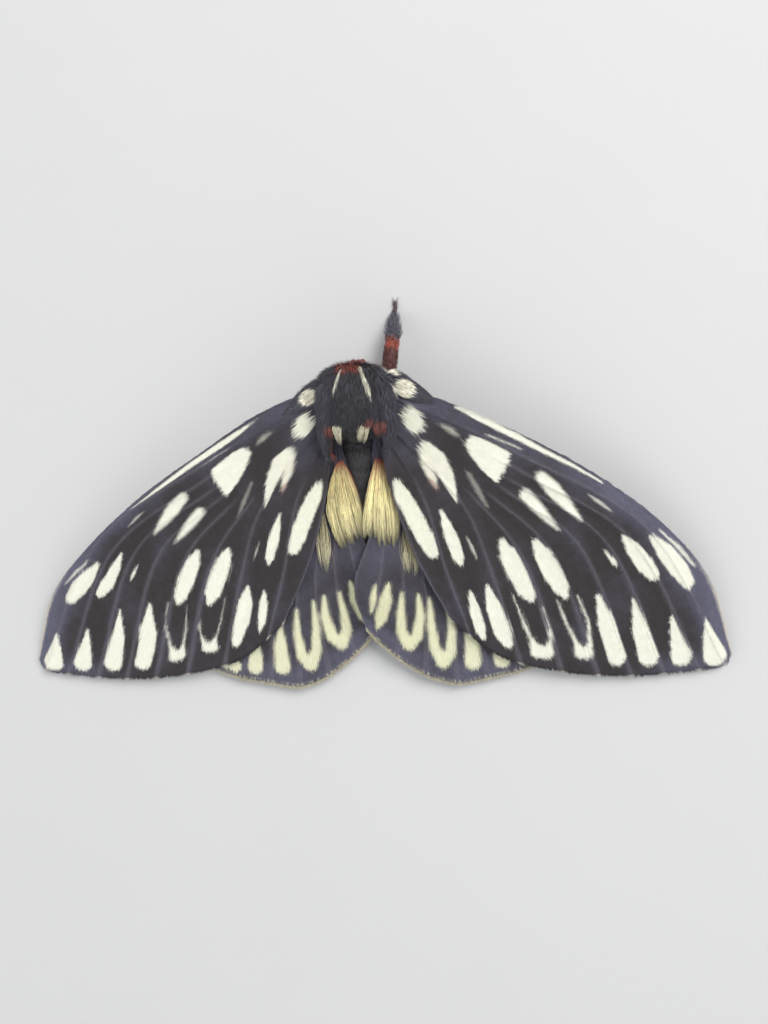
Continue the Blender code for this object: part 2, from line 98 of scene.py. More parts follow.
# Form of the wings over the body, in millimetres, as in the solids
WING_ROOT_HEIGHT = 10.5
WING_ROOT_X = 5.0
WING_ROOT_Y = 14.0
ROOF_SLOPE = 0.05
REAR_SLOPE = 0.165
COSTA_ROLL = 0.7
HIND_DROP = 1.2
HIND_ROOT_DROP = 1.05
BODY_HUMP = 1.3
BODY_HUMP_WIDTH = 4.0
MIDLINE_STEP = 1.3
HIND_SWING = math.radians(1.55)
HIND_HINGE = (5.5, 12.0)

# Wing lines from the front edge to the inner edge, from root to margin: start of the vein as a share of the
# line (NO_VEIN where there is only a fold), then the line's points in plan
NO_VEIN = 9.0
FORE_LINES = (
    (0.0, ((4.2, 17.6), (23.0, 8.2), (41.6, -3.6), (53.0, -23.9))),
    (0.3, ((4.2, 16.9), (22.2, 6.4), (39.0, -4.8), (49.2, -24.6))),
    (0.33, ((4.2, 16.3), (21.2, 4.9), (35.3, -5.0), (44.1, -25.1))),
    (0.33, ((4.2, 15.7), (20.0, 3.8), (31.6, -5.6), (39.3, -25.3))),
    (0.33, ((4.2, 15.1), (18.6, 2.7), (27.6, -6.6), (34.4, -25.1))),
    (0.3, ((4.2, 14.5), (16.6, 2.0), (23.6, -7.6), (29.0, -24.4))),
    (0.0, ((4.2, 13.7), (14.4, 1.9), (18.6, -8.4), (22.8, -22.9))),
    (NO_VEIN, ((4.2, 12.8), (12.4, 2.4), (15.9, -8.4), (19.0, -21.1))),
    (0.0, ((4.2, 11.6), (9.2, 2.6), (12.0, -8.0), (15.3, -18.2))),
    (0.0, ((3.6, 9.8), (4.9, 2.8), (8.0, -6.6), (12.6, -15.8))),
)
HIND_LINES = (
    (0.0, ((4.2, 13.4), (17.5, 1.5), (25.0, -10.0), (26.6, -21.0))),
    (0.0, ((4.0, 13.0), (15.5, -0.2), (22.4, -11.6), (25.6, -23.4))),
    (0.3, ((3.8, 12.7), (13.2, -1.6), (18.6, -13.0), (21.6, -25.1))),
    (0.33, ((3.6, 12.4), (11.2, -2.6), (15.0, -13.8), (17.0, -26.0))),
    (0.33, ((3.4, 12.2), (9.2, -3.2), (11.6, -14.0), (12.3, -26.7))),
    (0.3, ((3.2, 12.0), (7.2, -3.6), (8.4, -13.6), (7.5, -25.0))),
    (0.0, ((3.0, 11.8), (4.9, -3.6), (5.0, -12.6), (3.3, -21.8))),
    (0.0, ((2.7, 11.7), (2.8, -2.8), (1.4, -11.2), (0.3, -18.7))),
    (0.0, ((2.4, 11.6), (0.9, -1.8), (-2.0, -9.8), (-1.0, -17.0))),
)


class Side(Enum):
    """The moth's own two sides, as a sign on X."""

    RIGHT = 1
    LEFT = -1

    @property
    def word(self) -> str:
        """Name of the side in piece names."""
        return self.name.lower()


# Front edge of each fore wing, which comes before its other lines
FORE_EDGES = {
    Side.RIGHT: (0.0, ((4.2, 18.8), (14.2, 15.4), (24.2, 10.6), (34.3, 4.7), (43.8, -2.8), (50.5, -11.2),
                       (54.0, -21.9))),
    Side.LEFT: (0.0, ((4.2, 18.8), (14.3, 15.0), (24.2, 9.4), (33.7, 3.5), (43.2, -4.1), (50.3, -11.9),
                      (54.3, -22.0))),
}


class Slot(Enum):
    """Material slots of the record."""

    WING = "wing_scales"
    FUR = "dark_fur"
    ABDOMEN = "abdomen"
    RED = "red_fur"
    LEG = "leg"
    ANTENNA = "antenna"
    EYE = "eye"


def ramp(low: float, high: float, value: Array) -> Array:
    """Share from 0 at low to 1 at high, level at both ends.

    Args:
        low: Value where the share leaves 0.
        high: Value where the share reaches 1.
        value: Values to grade.

    Returns:
        A share for each value.
    """
    t = np.clip((value - low) / (high - low), 0.0, 1.0)
    return t * t * (3 - 2 * t)


def unit(vectors: Array) -> Array:
    """Vectors scaled to a length of one."""
    return vectors / np.maximum(np.linalg.norm(vectors, axis=-1, keepdims=True), TINY)


def smooth_curve(pick: Callable[[Array], Array], last: int, share: Array) -> Array:
    """Points on a smooth curve through evenly spaced points.

    Args:
        pick: Gives the curve's points for an array of their numbers.
        last: Number of the last point.
        share: Shares of the curve's length.

    Returns:
        One point for each share.
    """
    i = np.clip((share * last).astype(int), 0, last - 1)
    w = (share * last - i)[:, None]
    p1, p2 = pick(i), pick(i + 1)
    p0 = np.where((i > 0)[:, None], pick(np.maximum(i - 1, 0)), 2 * p1 - p2)
    p3 = np.where((i + 2 <= last)[:, None], pick(np.minimum(i + 2, last)), 2 * p2 - p1)
    cubic = (3 * p1 - p0 - 3 * p2 + p3) * w ** 3
    square = (2 * p0 - 5 * p1 + 4 * p2 - p3) * w ** 2
    return (2 * p1 + (p2 - p0) * w + square + cubic) * 0.5


def along(points: Array, share: Array) -> Array:
    """Points on the smooth curve through a list of points."""
    return smooth_curve(lambda index: points[index], len(points) - 1, share)


def to_frame(points: Array, side: Side = Side.RIGHT) -> Array:
    """Points in the moth's millimetres brought to the frame's metres, mirrored for the left side."""
    return (points * (side.value, 1.0, 1.0) - BOX_CENTRE) * MM


def from_frame(points: Array) -> Array:
    """Points in the frame's metres brought to the moth's millimetres."""
    return points / MM + BOX_CENTRE


def waves(points: Array, length: float, seed: int) -> Array:
    """Smooth noise from a few crossed waves.

    Args:
        points: Places, in millimetres.
        length: Length of the longest wave, in millimetres.
        seed: Seed of the waves' directions.

    Returns:
        A value from about -1 to 1 for each place.
    """
    rng = np.random.default_rng(seed)
    total = np.zeros(len(points))
    for number in range(WAVE_COUNT):
        direction = unit(rng.normal(size=points.shape[1]))
        pace = 2 * math.pi / length * WAVE_PACE ** number
        total += np.sin(points @ direction * pace + rng.uniform(0, 2 * math.pi)) / WAVE_FADE ** number
    return total / WAVE_SUM


def scatter(count: int, surface: Surface, rng: np.random.Generator, low: Sequence[float] = (0.0, 0.0),
            high: Sequence[float] = (1.0, 1.0)) -> tuple[Array, Array]:
    """Random places spread evenly over a surface of two shares.

    Args:
        count: Number of places.
        surface: Gives a point for each pair of shares.
        rng: Source of the random draws.
        low: Least value of each share.
        high: Greatest value of each share.

    Returns:
        The two shares of each place.
    """
    found = np.empty((0, 2))
    while len(found) < count:
        a, b = rng.uniform(low, high, (count * TRIES, 2)).T
        here = surface(a, b)
        cell = np.cross(surface(a + AREA_STEP, b) - here, surface(a, b + AREA_STEP) - here)
        area = np.linalg.norm(cell, axis=1)
        kept = rng.uniform(0, np.percentile(area, FULL_AREA), len(a)) < area
        found = np.vstack((found, np.column_stack((a, b))[kept]))
    return found[:count, 0], found[:count, 1]


def frame_at(surface: Surface, a: Array, b: Array) -> tuple[Array, Array, Array]:
    """Point, direction of the lie, and normal of a surface.

    Args:
        surface: Gives a point for each pair of shares.
        a: Shares along the lie.
        b: Shares across it.

    Returns:
        Points, unit directions of growing a, and unit normals, whose sign the caller settles.
    """
    here = surface(a, b)
    lie = unit(surface(a + SLOPE_STEP, b) - surface(a - SLOPE_STEP, b))
    across = unit(surface(a, b + SLOPE_STEP) - surface(a, b - SLOPE_STEP))
    return here, lie, unit(np.cross(lie, across))


def strayed(lie: Array, normal: Array, amount: float, rng: np.random.Generator) -> Array:
    """Directions turned a little at random within the surface."""
    return unit(lie + np.cross(normal, lie) * rng.normal(0, amount, len(lie))[:, None])


def beside(plan: Array, start: Array, end: Array) -> tuple[Array, Array]:
    """Nearest place on a straight band.

    Args:
        plan: X and Y of each place.
        start: X and Y of the band's start.
        end: X and Y of its end.

    Returns:
        Share of the way along the band, and distance from it, for each place.
    """
    band = end - start
    t = np.clip((plan - start) @ band / (band @ band), 0, 1)
    return t, np.linalg.norm(plan - start - t[:, None] * band, axis=1)


# Markings


@dataclass(frozen=True)
class Mark:
    """Pale mark of a wing: round spots joined by tapered bands.

    Attributes:
        chain: X, Y and half width of each spot, in plan millimetres.
        strength: How pale the mark is.
        fade: Width over which its edge fades.
        blush: How pink-brown it is.
    """

    chain: tuple[tuple[float, float, float], ...]
    strength: float = 1.0
    fade: float = 0.14
    blush: float = 0.0

    def depth(self, plan: Array) -> Array:
        """Distance of each place inside the mark's edge, negative outside it.

        Args:
            plan: X and Y of each place, in millimetres.

        Returns:
            A distance in millimetres for each place.
        """
        deepest = np.full(len(plan), -FAR)
        spots = np.array(self.chain)
        for start, end in zip(spots[:-1], spots[1:]):
            t, away = beside(plan, start[:2], end[:2])
            deepest = np.maximum(deepest, start[2] + (end[2] - start[2]) * t - away)
        return deepest

    def paleness(self, plan: Array, swell: float = 0.0) -> Array:
        """How pale the mark makes each place, with its edge moved out by a swell."""
        return self.strength * ramp(-self.fade, self.fade, self.depth(plan) + swell)


@dataclass(frozen=True)
class Patch(Mark):
    """Pale mark whose chain gives its corners. The first one's third number is how far its edges swell."""

    def depth(self, plan: Array) -> Array:
        """Distance of each place inside the patch's outline, negative outside it.

        Args:
            plan: X and Y of each place, in millimetres.

        Returns:
            A distance in millimetres for each place.
        """
        corners = np.array(self.chain)[:, :2]
        nearest = np.full(len(plan), FAR)
        inside = np.zeros(len(plan), bool)
        x, y = plan.T
        for start, end in zip(corners, np.roll(corners, -1, axis=0)):
            nearest = np.minimum(nearest, beside(plan, start, end)[1])
            spans = (start[1] > y) != (end[1] > y)
            width, rise = end - start
            inside ^= spans & (x < start[0] + width * (y - start[1]) / (rise or TINY))
        return np.where(inside, nearest, -nearest) + self.chain[0][2]


FORE_MARKS = (
    Mark(((49.9, -16.9, 0.2), (50.6, -19.6, 0.95), (51.5, -22.4, 1.75))),
    Mark(((44.9, -16.2, 0.2), (45.8, -19.6, 0.9), (46.6, -22.5, 1.5))),
    Mark(((39.3, -13.4, 0.2), (40.4, -18.0, 1.1), (41.8, -22.5, 1.45))),
    Mark(((34.1, -12.6, 0.25), (35.5, -17.0, 1.25), (37.1, -22.5, 1.3))),
    Mark(((28.2, -13.3, 0.05), (29.7, -17.0, 0.14), (31.0, -19.9, 0.25), (31.8, -21.6, 0.9),
          (32.7, -21.7, 0.9), (33.1, -19.8, 0.25), (32.8, -16.5, 0.14), (31.2, -12.7, 0.05)), fade=0.25),
    Mark(((21.8, -12.4, 0.05), (23.2, -16.4, 0.14), (24.5, -19.3, 0.25), (25.3, -21.2, 1.0),
          (26.7, -21.5, 1.0), (27.3, -19.6, 0.25), (27.2, -17.5, 0.14), (26.2, -14.2, 0.05)), fade=0.25),
    Mark(((18.1, -11.0, 0.35), (19.0, -14.2, 1.15), (20.2, -18.0, 1.25), (21.0, -19.8, 0.8))),
    Mark(((15.6, -11.8, 0.3), (16.2, -14.6, 0.8), (16.9, -17.4, 0.8), (17.3, -18.8, 0.4))),
    Mark(((20.3, -4.2, 0.5), (21.2, -6.2, 1.2), (22.4, -8.9, 1.35), (23.6, -11.5, 1.2),
          (24.4, -12.9, 0.6))),
    Mark(((25.1, -4.4, 0.5), (26.1, -6.3, 1.2), (27.5, -9.0, 1.35), (28.8, -11.4, 1.1),
          (29.5, -12.6, 0.5))),
    Mark(((35.0, -6.0, 0.1), (36.3, -7.6, 0.35), (36.7, -8.2, 0.15))),
    Mark(((37.7, -4.0, 0.3), (39.0, -5.8, 1.0), (40.8, -8.2, 1.25), (42.0, -9.7, 0.9))),
    Mark(((41.8, -4.3, 0.5), (43.6, -6.3, 1.2), (45.6, -8.9, 1.35), (47.1, -11.0, 0.95))),
    Mark(((42.9, -3.3, 0.1), (45.6, -5.8, 0.3), (47.9, -8.6, 0.15)), 0.8),
    Mark(((25.9, 5.1, 0.75), (27.6, 3.2, 1.05), (29.5, 1.0, 0.75), (31.5, -1.3, 0.15)), fade=0.3),
    Mark(((23.7, 2.6, 0.8), (25.1, 1.0, 0.8), (26.9, -1.1, 0.5), (28.4, -2.7, 0.1)), fade=0.35),
    Mark(((32.6, 2.3, 0.08), (34.3, 1.0, 0.25), (35.7, -0.1, 0.1)), 0.6),
    Patch(((15.2, 10.4, 0.15), (16.3, 11.1, 0.0), (18.2, 10.4, 0.0), (21.4, 8.6, 0.0), (21.2, 7.4, 0.0),
           (19.6, 4.6, 0.0), (17.6, 6.5, 0.0), (15.9, 8.8, 0.0))),
    Mark(((9.6, 9.9, 0.9), (11.2, 8.3, 1.15), (12.6, 5.6, 0.95), (13.4, 3.4, 0.5), (13.9, 1.9, 0.1)),
         blush=0.04),
    Mark(((9.4, 9.8, 0.8), (9.8, 7.6, 0.85), (10.4, 6.0, 0.65), (11.0, 4.7, 0.2)), fade=0.3, blush=0.1),
    Mark(((10.3, 5.9, 0.3), (10.7, 4.9, 0.4), (11.1, 4.0, 0.1)), fade=0.4, blush=0.75),
    Mark(((5.5, 5.0, 0.6), (6.3, 3.0, 1.1), (7.7, 0.1, 1.25), (9.2, -3.2, 1.25), (10.2, -5.4, 0.9))),
    Mark(((11.7, 0.6, 0.2), (12.3, -1.2, 0.65), (13.2, -3.8, 0.95), (14.0, -6.3, 0.8),
          (14.3, -7.2, 0.4))),
    Mark(((15.6, 6.0, 0.2), (17.0, 3.4, 0.35), (18.2, 1.1, 0.1)), 0.3, 0.3),
    Mark(((15.3, -3.4, 0.1), (16.0, -5.0, 0.25), (16.6, -6.4, 0.1)), 0.5),
    Mark(((12.0, 12.9, 0.12), (13.3, 12.1, 0.35), (14.0, 11.5, 0.15)), 0.55, 0.4, blush=0.1),
    Mark(((18.4, 11.3, 0.08), (20.8, 10.2, 0.12), (23.1, 9.1, 0.05)), 0.7),
    Mark(((7.5, 15.4, 0.5), (7.8, 14.1, 1.4), (8.2, 13.1, 1.15))),
)

# Where the left fore wing's marks lie off the right one's: X, Y, reach, and shift in X and Y
LEFT_NUDGES = ((43.0, -7.0, 8.0, -0.5, -1.5), (24.0, 5.0, 9.0, 0.1, -1.2), (29.0, -21.0, 6.0, -2.0, 0.0),
               (40.0, -21.0, 7.0, -0.5, -0.3), (18.0, -15.0, 4.0, -1.0, 2.6), (7.0, 14.5, 3.5, -1.0, -0.3),
               (8.0, 0.0, 6.0, 0.3, 0.5), (12.0, -6.0, 4.0, -0.1, 0.9), (25.5, -21.0, 3.5, 0.2, 1.5),
               (49.0, -18.0, 5.0, 0.3, -0.7), (42.5, -7.0, 3.5, 0.3, -0.9), (27.5, 2.0, 4.5, 0.5, -0.5))
LEFT_SWELL = -0.1
FRONT_MARKS = {
    Side.RIGHT: Mark(((14.0, 15.4, 0.1), (16.4, 14.1, 0.35), (18.9, 12.8, 0.45), (22.7, 10.8, 0.42),
                      (26.0, 8.9, 0.32), (30.1, 6.7, 0.25), (34.5, 4.0, 0.1))),
    Side.LEFT: Mark(((14.0, 14.6, 0.1), (17.0, 12.8, 0.4), (19.6, 11.3, 0.5), (24.7, 8.4, 0.45),
                     (29.7, 5.3, 0.35), (34.9, 2.0, 0.12))),
}
HIND_MARKS = (
    Mark(((22.6, -23.0, 1.1), (24.6, -22.4, 0.6))),
    Mark(((18.4, -19.3, 0.35), (18.9, -21.5, 1.0), (19.2, -23.3, 1.2)), fade=0.25),
    Mark(((14.4, -16.4, 0.25), (14.7, -19.8, 0.95), (14.8, -23.4, 1.2)), fade=0.25),
    Mark(((11.6, -14.2, 0.25), (11.9, -18.0, 0.6), (11.5, -21.6, 0.8), (10.3, -23.0, 1.1),
          (9.2, -21.0, 0.75), (8.8, -17.0, 0.6), (8.8, -13.0, 0.25)), fade=0.3),
    Mark(((7.2, -12.3, 0.25), (7.3, -15.5, 0.65), (6.6, -18.8, 0.8), (5.3, -20.0, 1.0),
          (4.3, -18.0, 0.75), (4.4, -15.0, 0.6), (4.8, -11.8, 0.25)), fade=0.3),
    Mark(((2.9, -10.3, 0.3), (2.3, -12.8, 0.9), (1.4, -15.4, 0.9), (0.8, -16.9, 0.3)), fade=0.3),
    Mark(((1.0, -10.3, 0.2), (0.6, -12.2, 0.5), (0.1, -14.2, 0.25)), fade=0.3),
)


# Finishes


class NodeSet:
    """Short way to add and link the shader nodes of one material."""

    def __init__(self, name: str) -> None:
        """Start a material whose Principled shader is ready.

        Args:
            name: Name of the material.
        """
        self.material = bpy.data.materials.new(name)
        self.material.use_nodes = True
        self.tree = self.material.node_tree
        self.shader = self.tree.nodes["Principled BSDF"]

    def add(self, kind: str, sockets: Optional[dict] = None, **settings: object) -> bpy.types.Node:
        """Add a node.

        Args:
            kind: Blender's name of the node type.
            sockets: Values or links of its inputs, by name or number.
            settings: The node's own settings.

        Returns:
            The new node.
        """
        node = self.tree.nodes.new(kind)
        for name, value in settings.items():
            setattr(node, name, value)
        for name, value in (sockets or {}).items():
            self.feed(node.inputs[name], value)
        return node

    def feed(self, socket: bpy.types.NodeSocket, value: object) -> None:
        """Link an output to a socket, or set the socket's own value.

        Args:
            socket: The input.
            value: An output, a number, or a colour without its alpha.
        """
        if isinstance(value, bpy.types.NodeSocket):
            self.tree.links.new(value, socket)
        elif socket.type == "RGBA":
            socket.default_value = (*value, 1.0)
        else:
            socket.default_value = value

    def surface(self, sockets: dict[str, object]) -> None:
        """Feed sockets of the Principled shader, by name."""
        for name, value in sockets.items():
            self.feed(self.shader.inputs[name], value)

    def attribute(self, name: str) -> bpy.types.NodeSocket:
        """Value of a mesh attribute."""
        return self.add("ShaderNodeAttribute", attribute_name=name).outputs["Fac"]

    def place(self) -> bpy.types.NodeSocket:
        """Object coordinates."""
        return self.add("ShaderNodeTexCoord").outputs["Object"]

    def mix(self, share: object, first: object, second: object, **settings: object) -> bpy.types.NodeSocket:
        """Blend of two colours."""
        sockets = {0: share, 6: first, 7: second}
        return self.add("ShaderNodeMix", sockets, data_type="RGBA", **settings).outputs[2]

    def shaded(self, colour: object, grey: object) -> bpy.types.NodeSocket:
        """Colour multiplied by a grey."""
        factor = self.add("ShaderNodeCombineColor", {0: grey, 1: grey, 2: grey}).outputs[0]
        return self.mix(1.0, colour, factor, blend_type="MULTIPLY")

    def product(self, first: object, second: object) -> bpy.types.NodeSocket:
        """Product of two values."""
        return self.add("ShaderNodeMath", {0: first, 1: second}, operation="MULTIPLY").outputs[0]

    def noise(self, scale: float, detail: float = 4.0) -> bpy.types.NodeSocket:
        """Noise on Object coordinates, whose scale is in repeats a metre."""
        wanted = {"Vector": self.place(), "Scale": scale, "Detail": detail, "Roughness": 0.6}
        return self.add("ShaderNodeTexNoise", wanted).outputs["Fac"]

    def spread(self, value: object, low: float, high: float) -> bpy.types.NodeSocket:
        """Value from 0 to 1 brought to a new range."""
        wanted = {"Value": value, "To Min": low, "To Max": high}
        return self.add("ShaderNodeMapRange", wanted).outputs["Result"]

    def grain(self, scale: float, low: float, high: float) -> bpy.types.NodeSocket:
        """Noise brought to a range."""
        return self.spread(self.noise(scale), low, high)

    def bump(self, height: object, strength: float, distance: float) -> None:
        """Raise the surface by a height pattern, at most by a distance in millimetres."""
        wanted = {"Height": height, "Strength": strength, "Distance": distance * MM}
        self.surface({"Normal": self.add("ShaderNodeBump", wanted).outputs["Normal"]})


@dataclass(frozen=True)
class ScaleFinish:
    """Wing scales: charcoal ground with a blue-grey bloom that is partly painted sheen, vein lines and cream
    marks.

    Attributes:
        name: Name of the material.
        brown: Ground colour of the middle of the wing.
        violet: Ground colour where the wing has a blue-grey bloom, which along the front edge and at the apex
            is painted sheen.
        vein: Colour of the vein lines.
        cream: Colour of the marks.
        straw: Colour of the yellower marks.
        blush: Colour of the pink-brown ends of some marks.
        roughness: Roughness of the scales.
    """

    name: str
    brown: Colour = (0.027, 0.0225, 0.024)
    violet: Colour = (0.088, 0.086, 0.122)
    vein: Colour = (0.125, 0.115, 0.135)
    cream: Colour = (0.61, 0.60, 0.51)
    straw: Colour = (0.47, 0.46, 0.24)
    blush: Colour = (0.34, 0.22, 0.17)
    roughness: float = 0.72

    def build(self) -> bpy.types.Material:
        """Make the material from the attributes tone, rib, pale, warm, blush and shade.

        Returns:
            The material.
        """
        n = NodeSet(self.name)
        # Blue-grey bloom over the ground, partly painted sheen along the front edge and at the apex
        ground = n.mix(n.attribute("tone"), self.brown, self.violet)
        ground = n.mix(n.attribute("rib"), ground, self.vein)
        ground = n.shaded(ground, n.grain(2400.0, low=0.72, high=1.22))
        mark = n.mix(n.attribute("warm"), self.cream, self.straw)
        mark = n.mix(n.attribute("blush"), mark, self.blush)
        colour = n.mix(n.attribute("pale"), ground, mark)
        n.surface({
            "Base Color": n.shaded(colour, n.spread(n.attribute("shade"), low=0.9, high=1.06)),
            "Roughness": n.grain(1500.0, self.roughness - 0.1, self.roughness + 0.1),
            "Sheen Weight": 0.12,
            "Sheen Roughness": 0.4,
            "Specular IOR Level": 0.22,
        })
        n.bump(n.noise(9000.0, detail=2.0), strength=0.2, distance=0.05)
        return n.material


@dataclass(frozen=True)
class FurFinish:
    """Hair whose colour is blended from four coat colours.

    Attributes:
        name: Name of the material.
        dark: Main coat colour.
        bloom: Violet-grey of the sides.
        red: Orange-red of collar, legs and rear tufts.
        pale: Cream of the pale tufts.
        straw: Yellow of the long hair.
        roughness: Roughness of the hair.
    """

    name: str
    dark: Colour = (0.030, 0.026, 0.026)
    bloom: Colour = (0.075, 0.070, 0.092)
    red: Colour = (0.36, 0.055, 0.025)
    pale: Colour = (0.96, 0.92, 0.75)
    straw: Colour = (0.80, 0.71, 0.31)
    roughness: float = 0.6

    def build(self) -> bpy.types.Material:
        """Make the material from the attributes tone, red, pale, warm and shade.

        Returns:
            The material.
        """
        n = NodeSet(self.name)
        colour = n.mix(n.attribute("tone"), self.dark, self.bloom)
        colour = n.mix(n.attribute("red"), colour, self.red)
        colour = n.mix(n.attribute("pale"), colour, n.mix(n.attribute("warm"), self.pale, self.straw))
        strands = n.spread(n.attribute("shade"), low=0.6, high=1.2)
        n.surface({
            "Base Color": n.shaded(colour, n.product(strands, n.grain(1800.0, low=0.85, high=1.15))),
            "Roughness": n.grain(1200.0, self.roughness - 0.1, self.roughness + 0.12),
            "Sheen Weight": 0.1,
            "Specular IOR Level": 0.4,
        })
        n.bump(n.noise(7000.0, detail=2.0), strength=0.3, distance=0.05)
        return n.material


@dataclass(frozen=True)
class HornFinish:
    """Smooth dark cuticle of eyes, feelers and claws.

    Attributes:
        name: Name of the material.
        dark: Colour of its deeper parts.
        light: Colour of its lighter parts.
        roughness: Roughness of its surface.
        facets: Repeats a metre of a fine cell pattern, or 0 for none.
    """

    name: str
    dark: Colour
    light: Colour
    roughness: float
    facets: float = 0.0

    def build(self) -> bpy.types.Material:
        """Make the material, with small cells where it has facets.

        Returns:
            The material.
        """
        n = NodeSet(self.name)
        n.surface({
            "Base Color": n.mix(n.noise(1100.0), self.dark, self.light),
            "Roughness": n.grain(2500.0, self.roughness - 0.05, self.roughness + 0.12),
        })
        if self.facets:
            cells = n.add("ShaderNodeTexVoronoi", {"Vector": n.place(), "Scale": self.facets})
            n.surface({"Coat Weight": 0.12})
            n.bump(cells.outputs["Distance"], strength=0.5, distance=0.03)
        else:
            n.bump(n.noise(8000.0, detail=2.0), strength=0.3, distance=0.04)
        return n.material


@dataclass(frozen=True)
class FloorFinish:
    """Plain pale matt floor.

    Attributes:
        name: Name of the material.
        colour: Its colour.
        light: Its colour where it is a little lighter.
    """

    name: str = "pale_floor"
    colour: Colour = (0.42, 0.418, 0.41)
    light: Colour = (0.4326, 0.43054, 0.4223)

    def build(self) -> bpy.types.Material:
        """Make the material.

        Returns:
            The material.
        """
        n = NodeSet(self.name)
        n.surface({"Base Color": n.mix(n.noise(40.0), self.colour, self.light), "Roughness": 0.85})
        return n.material


# Making of meshes


def add_object(name: str, data: bpy.types.ID) -> bpy.types.Object:
    """Make an object at the origin and link it to the scene.

    Args:
        name: Name of the object.
        data: Its mesh, camera or light.

    Returns:
        The object.
    """
    made = bpy.data.objects.new(name, data)
    bpy.context.scene.collection.objects.link(made)
    return made


def dress(made: bpy.types.Object, material: bpy.types.Material,
          replaces: Sequence[str] = ()) -> None:
    """Give a piece its finish and its place in the table, and report it.

    Args:
        made: The finished piece.
        material: Its material.
        replaces: Solids that it stands for.
    """
    made.data.materials.clear()
    made.data.materials.append(material)
    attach(made, "root")
    if replaces:
        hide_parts(*replaces)
    triangles = sum(len(face.vertices) - 2 for face in made.data.polygons)
    LOG.info("%s: %d triangles", made.name, triangles)


def set_attributes(mesh: bpy.types.Mesh, values: Places) -> None:
    """Store one number a vertex under each name.

    Args:
        mesh: The mesh.
        values: Numbers for its vertices, by name.
    """
    for name, numbers in values.items():
        layer = mesh.attributes.new(name, "FLOAT", "POINT")
        layer.data.foreach_set("value", np.ascontiguousarray(numbers, np.float32))


def from_bmesh(bm: bmesh.types.BMesh, name: str) -> bpy.types.Object:
    """Turn a bmesh, in metres, into an object with smooth faces that point outwards.

    Args:
        bm: The form, which is freed.
        name: Name of the piece.

    Returns:
        The object, linked to the scene.
    """
    bm.normal_update()
    bmesh.ops.recalc_face_normals(bm, faces=bm.faces)
    mesh = bpy.data.meshes.new(name)
    bm.to_mesh(mesh)
    bm.free()
    mesh.shade_smooth()
    return add_object(name, mesh)


def coordinates(verts: Sequence) -> Array:
    """Positions of the vertices of a bmesh or a mesh."""
    return np.array([vert.co for vert in verts])


def set_coordinates(bm: bmesh.types.BMesh, points: Array) -> None:
    """Move the vertices of a bmesh."""
    for vert, point in zip(bm.verts, points):
        vert.co = point


def upright(count: int) -> Array:
    """Upward direction for each of a number of tufts."""
    return np.tile(UP, (count, 1))


# Growth of a tuft's width from root to full width, as shares of it over the tuft's length
ROOT_GROWTH = 3.0


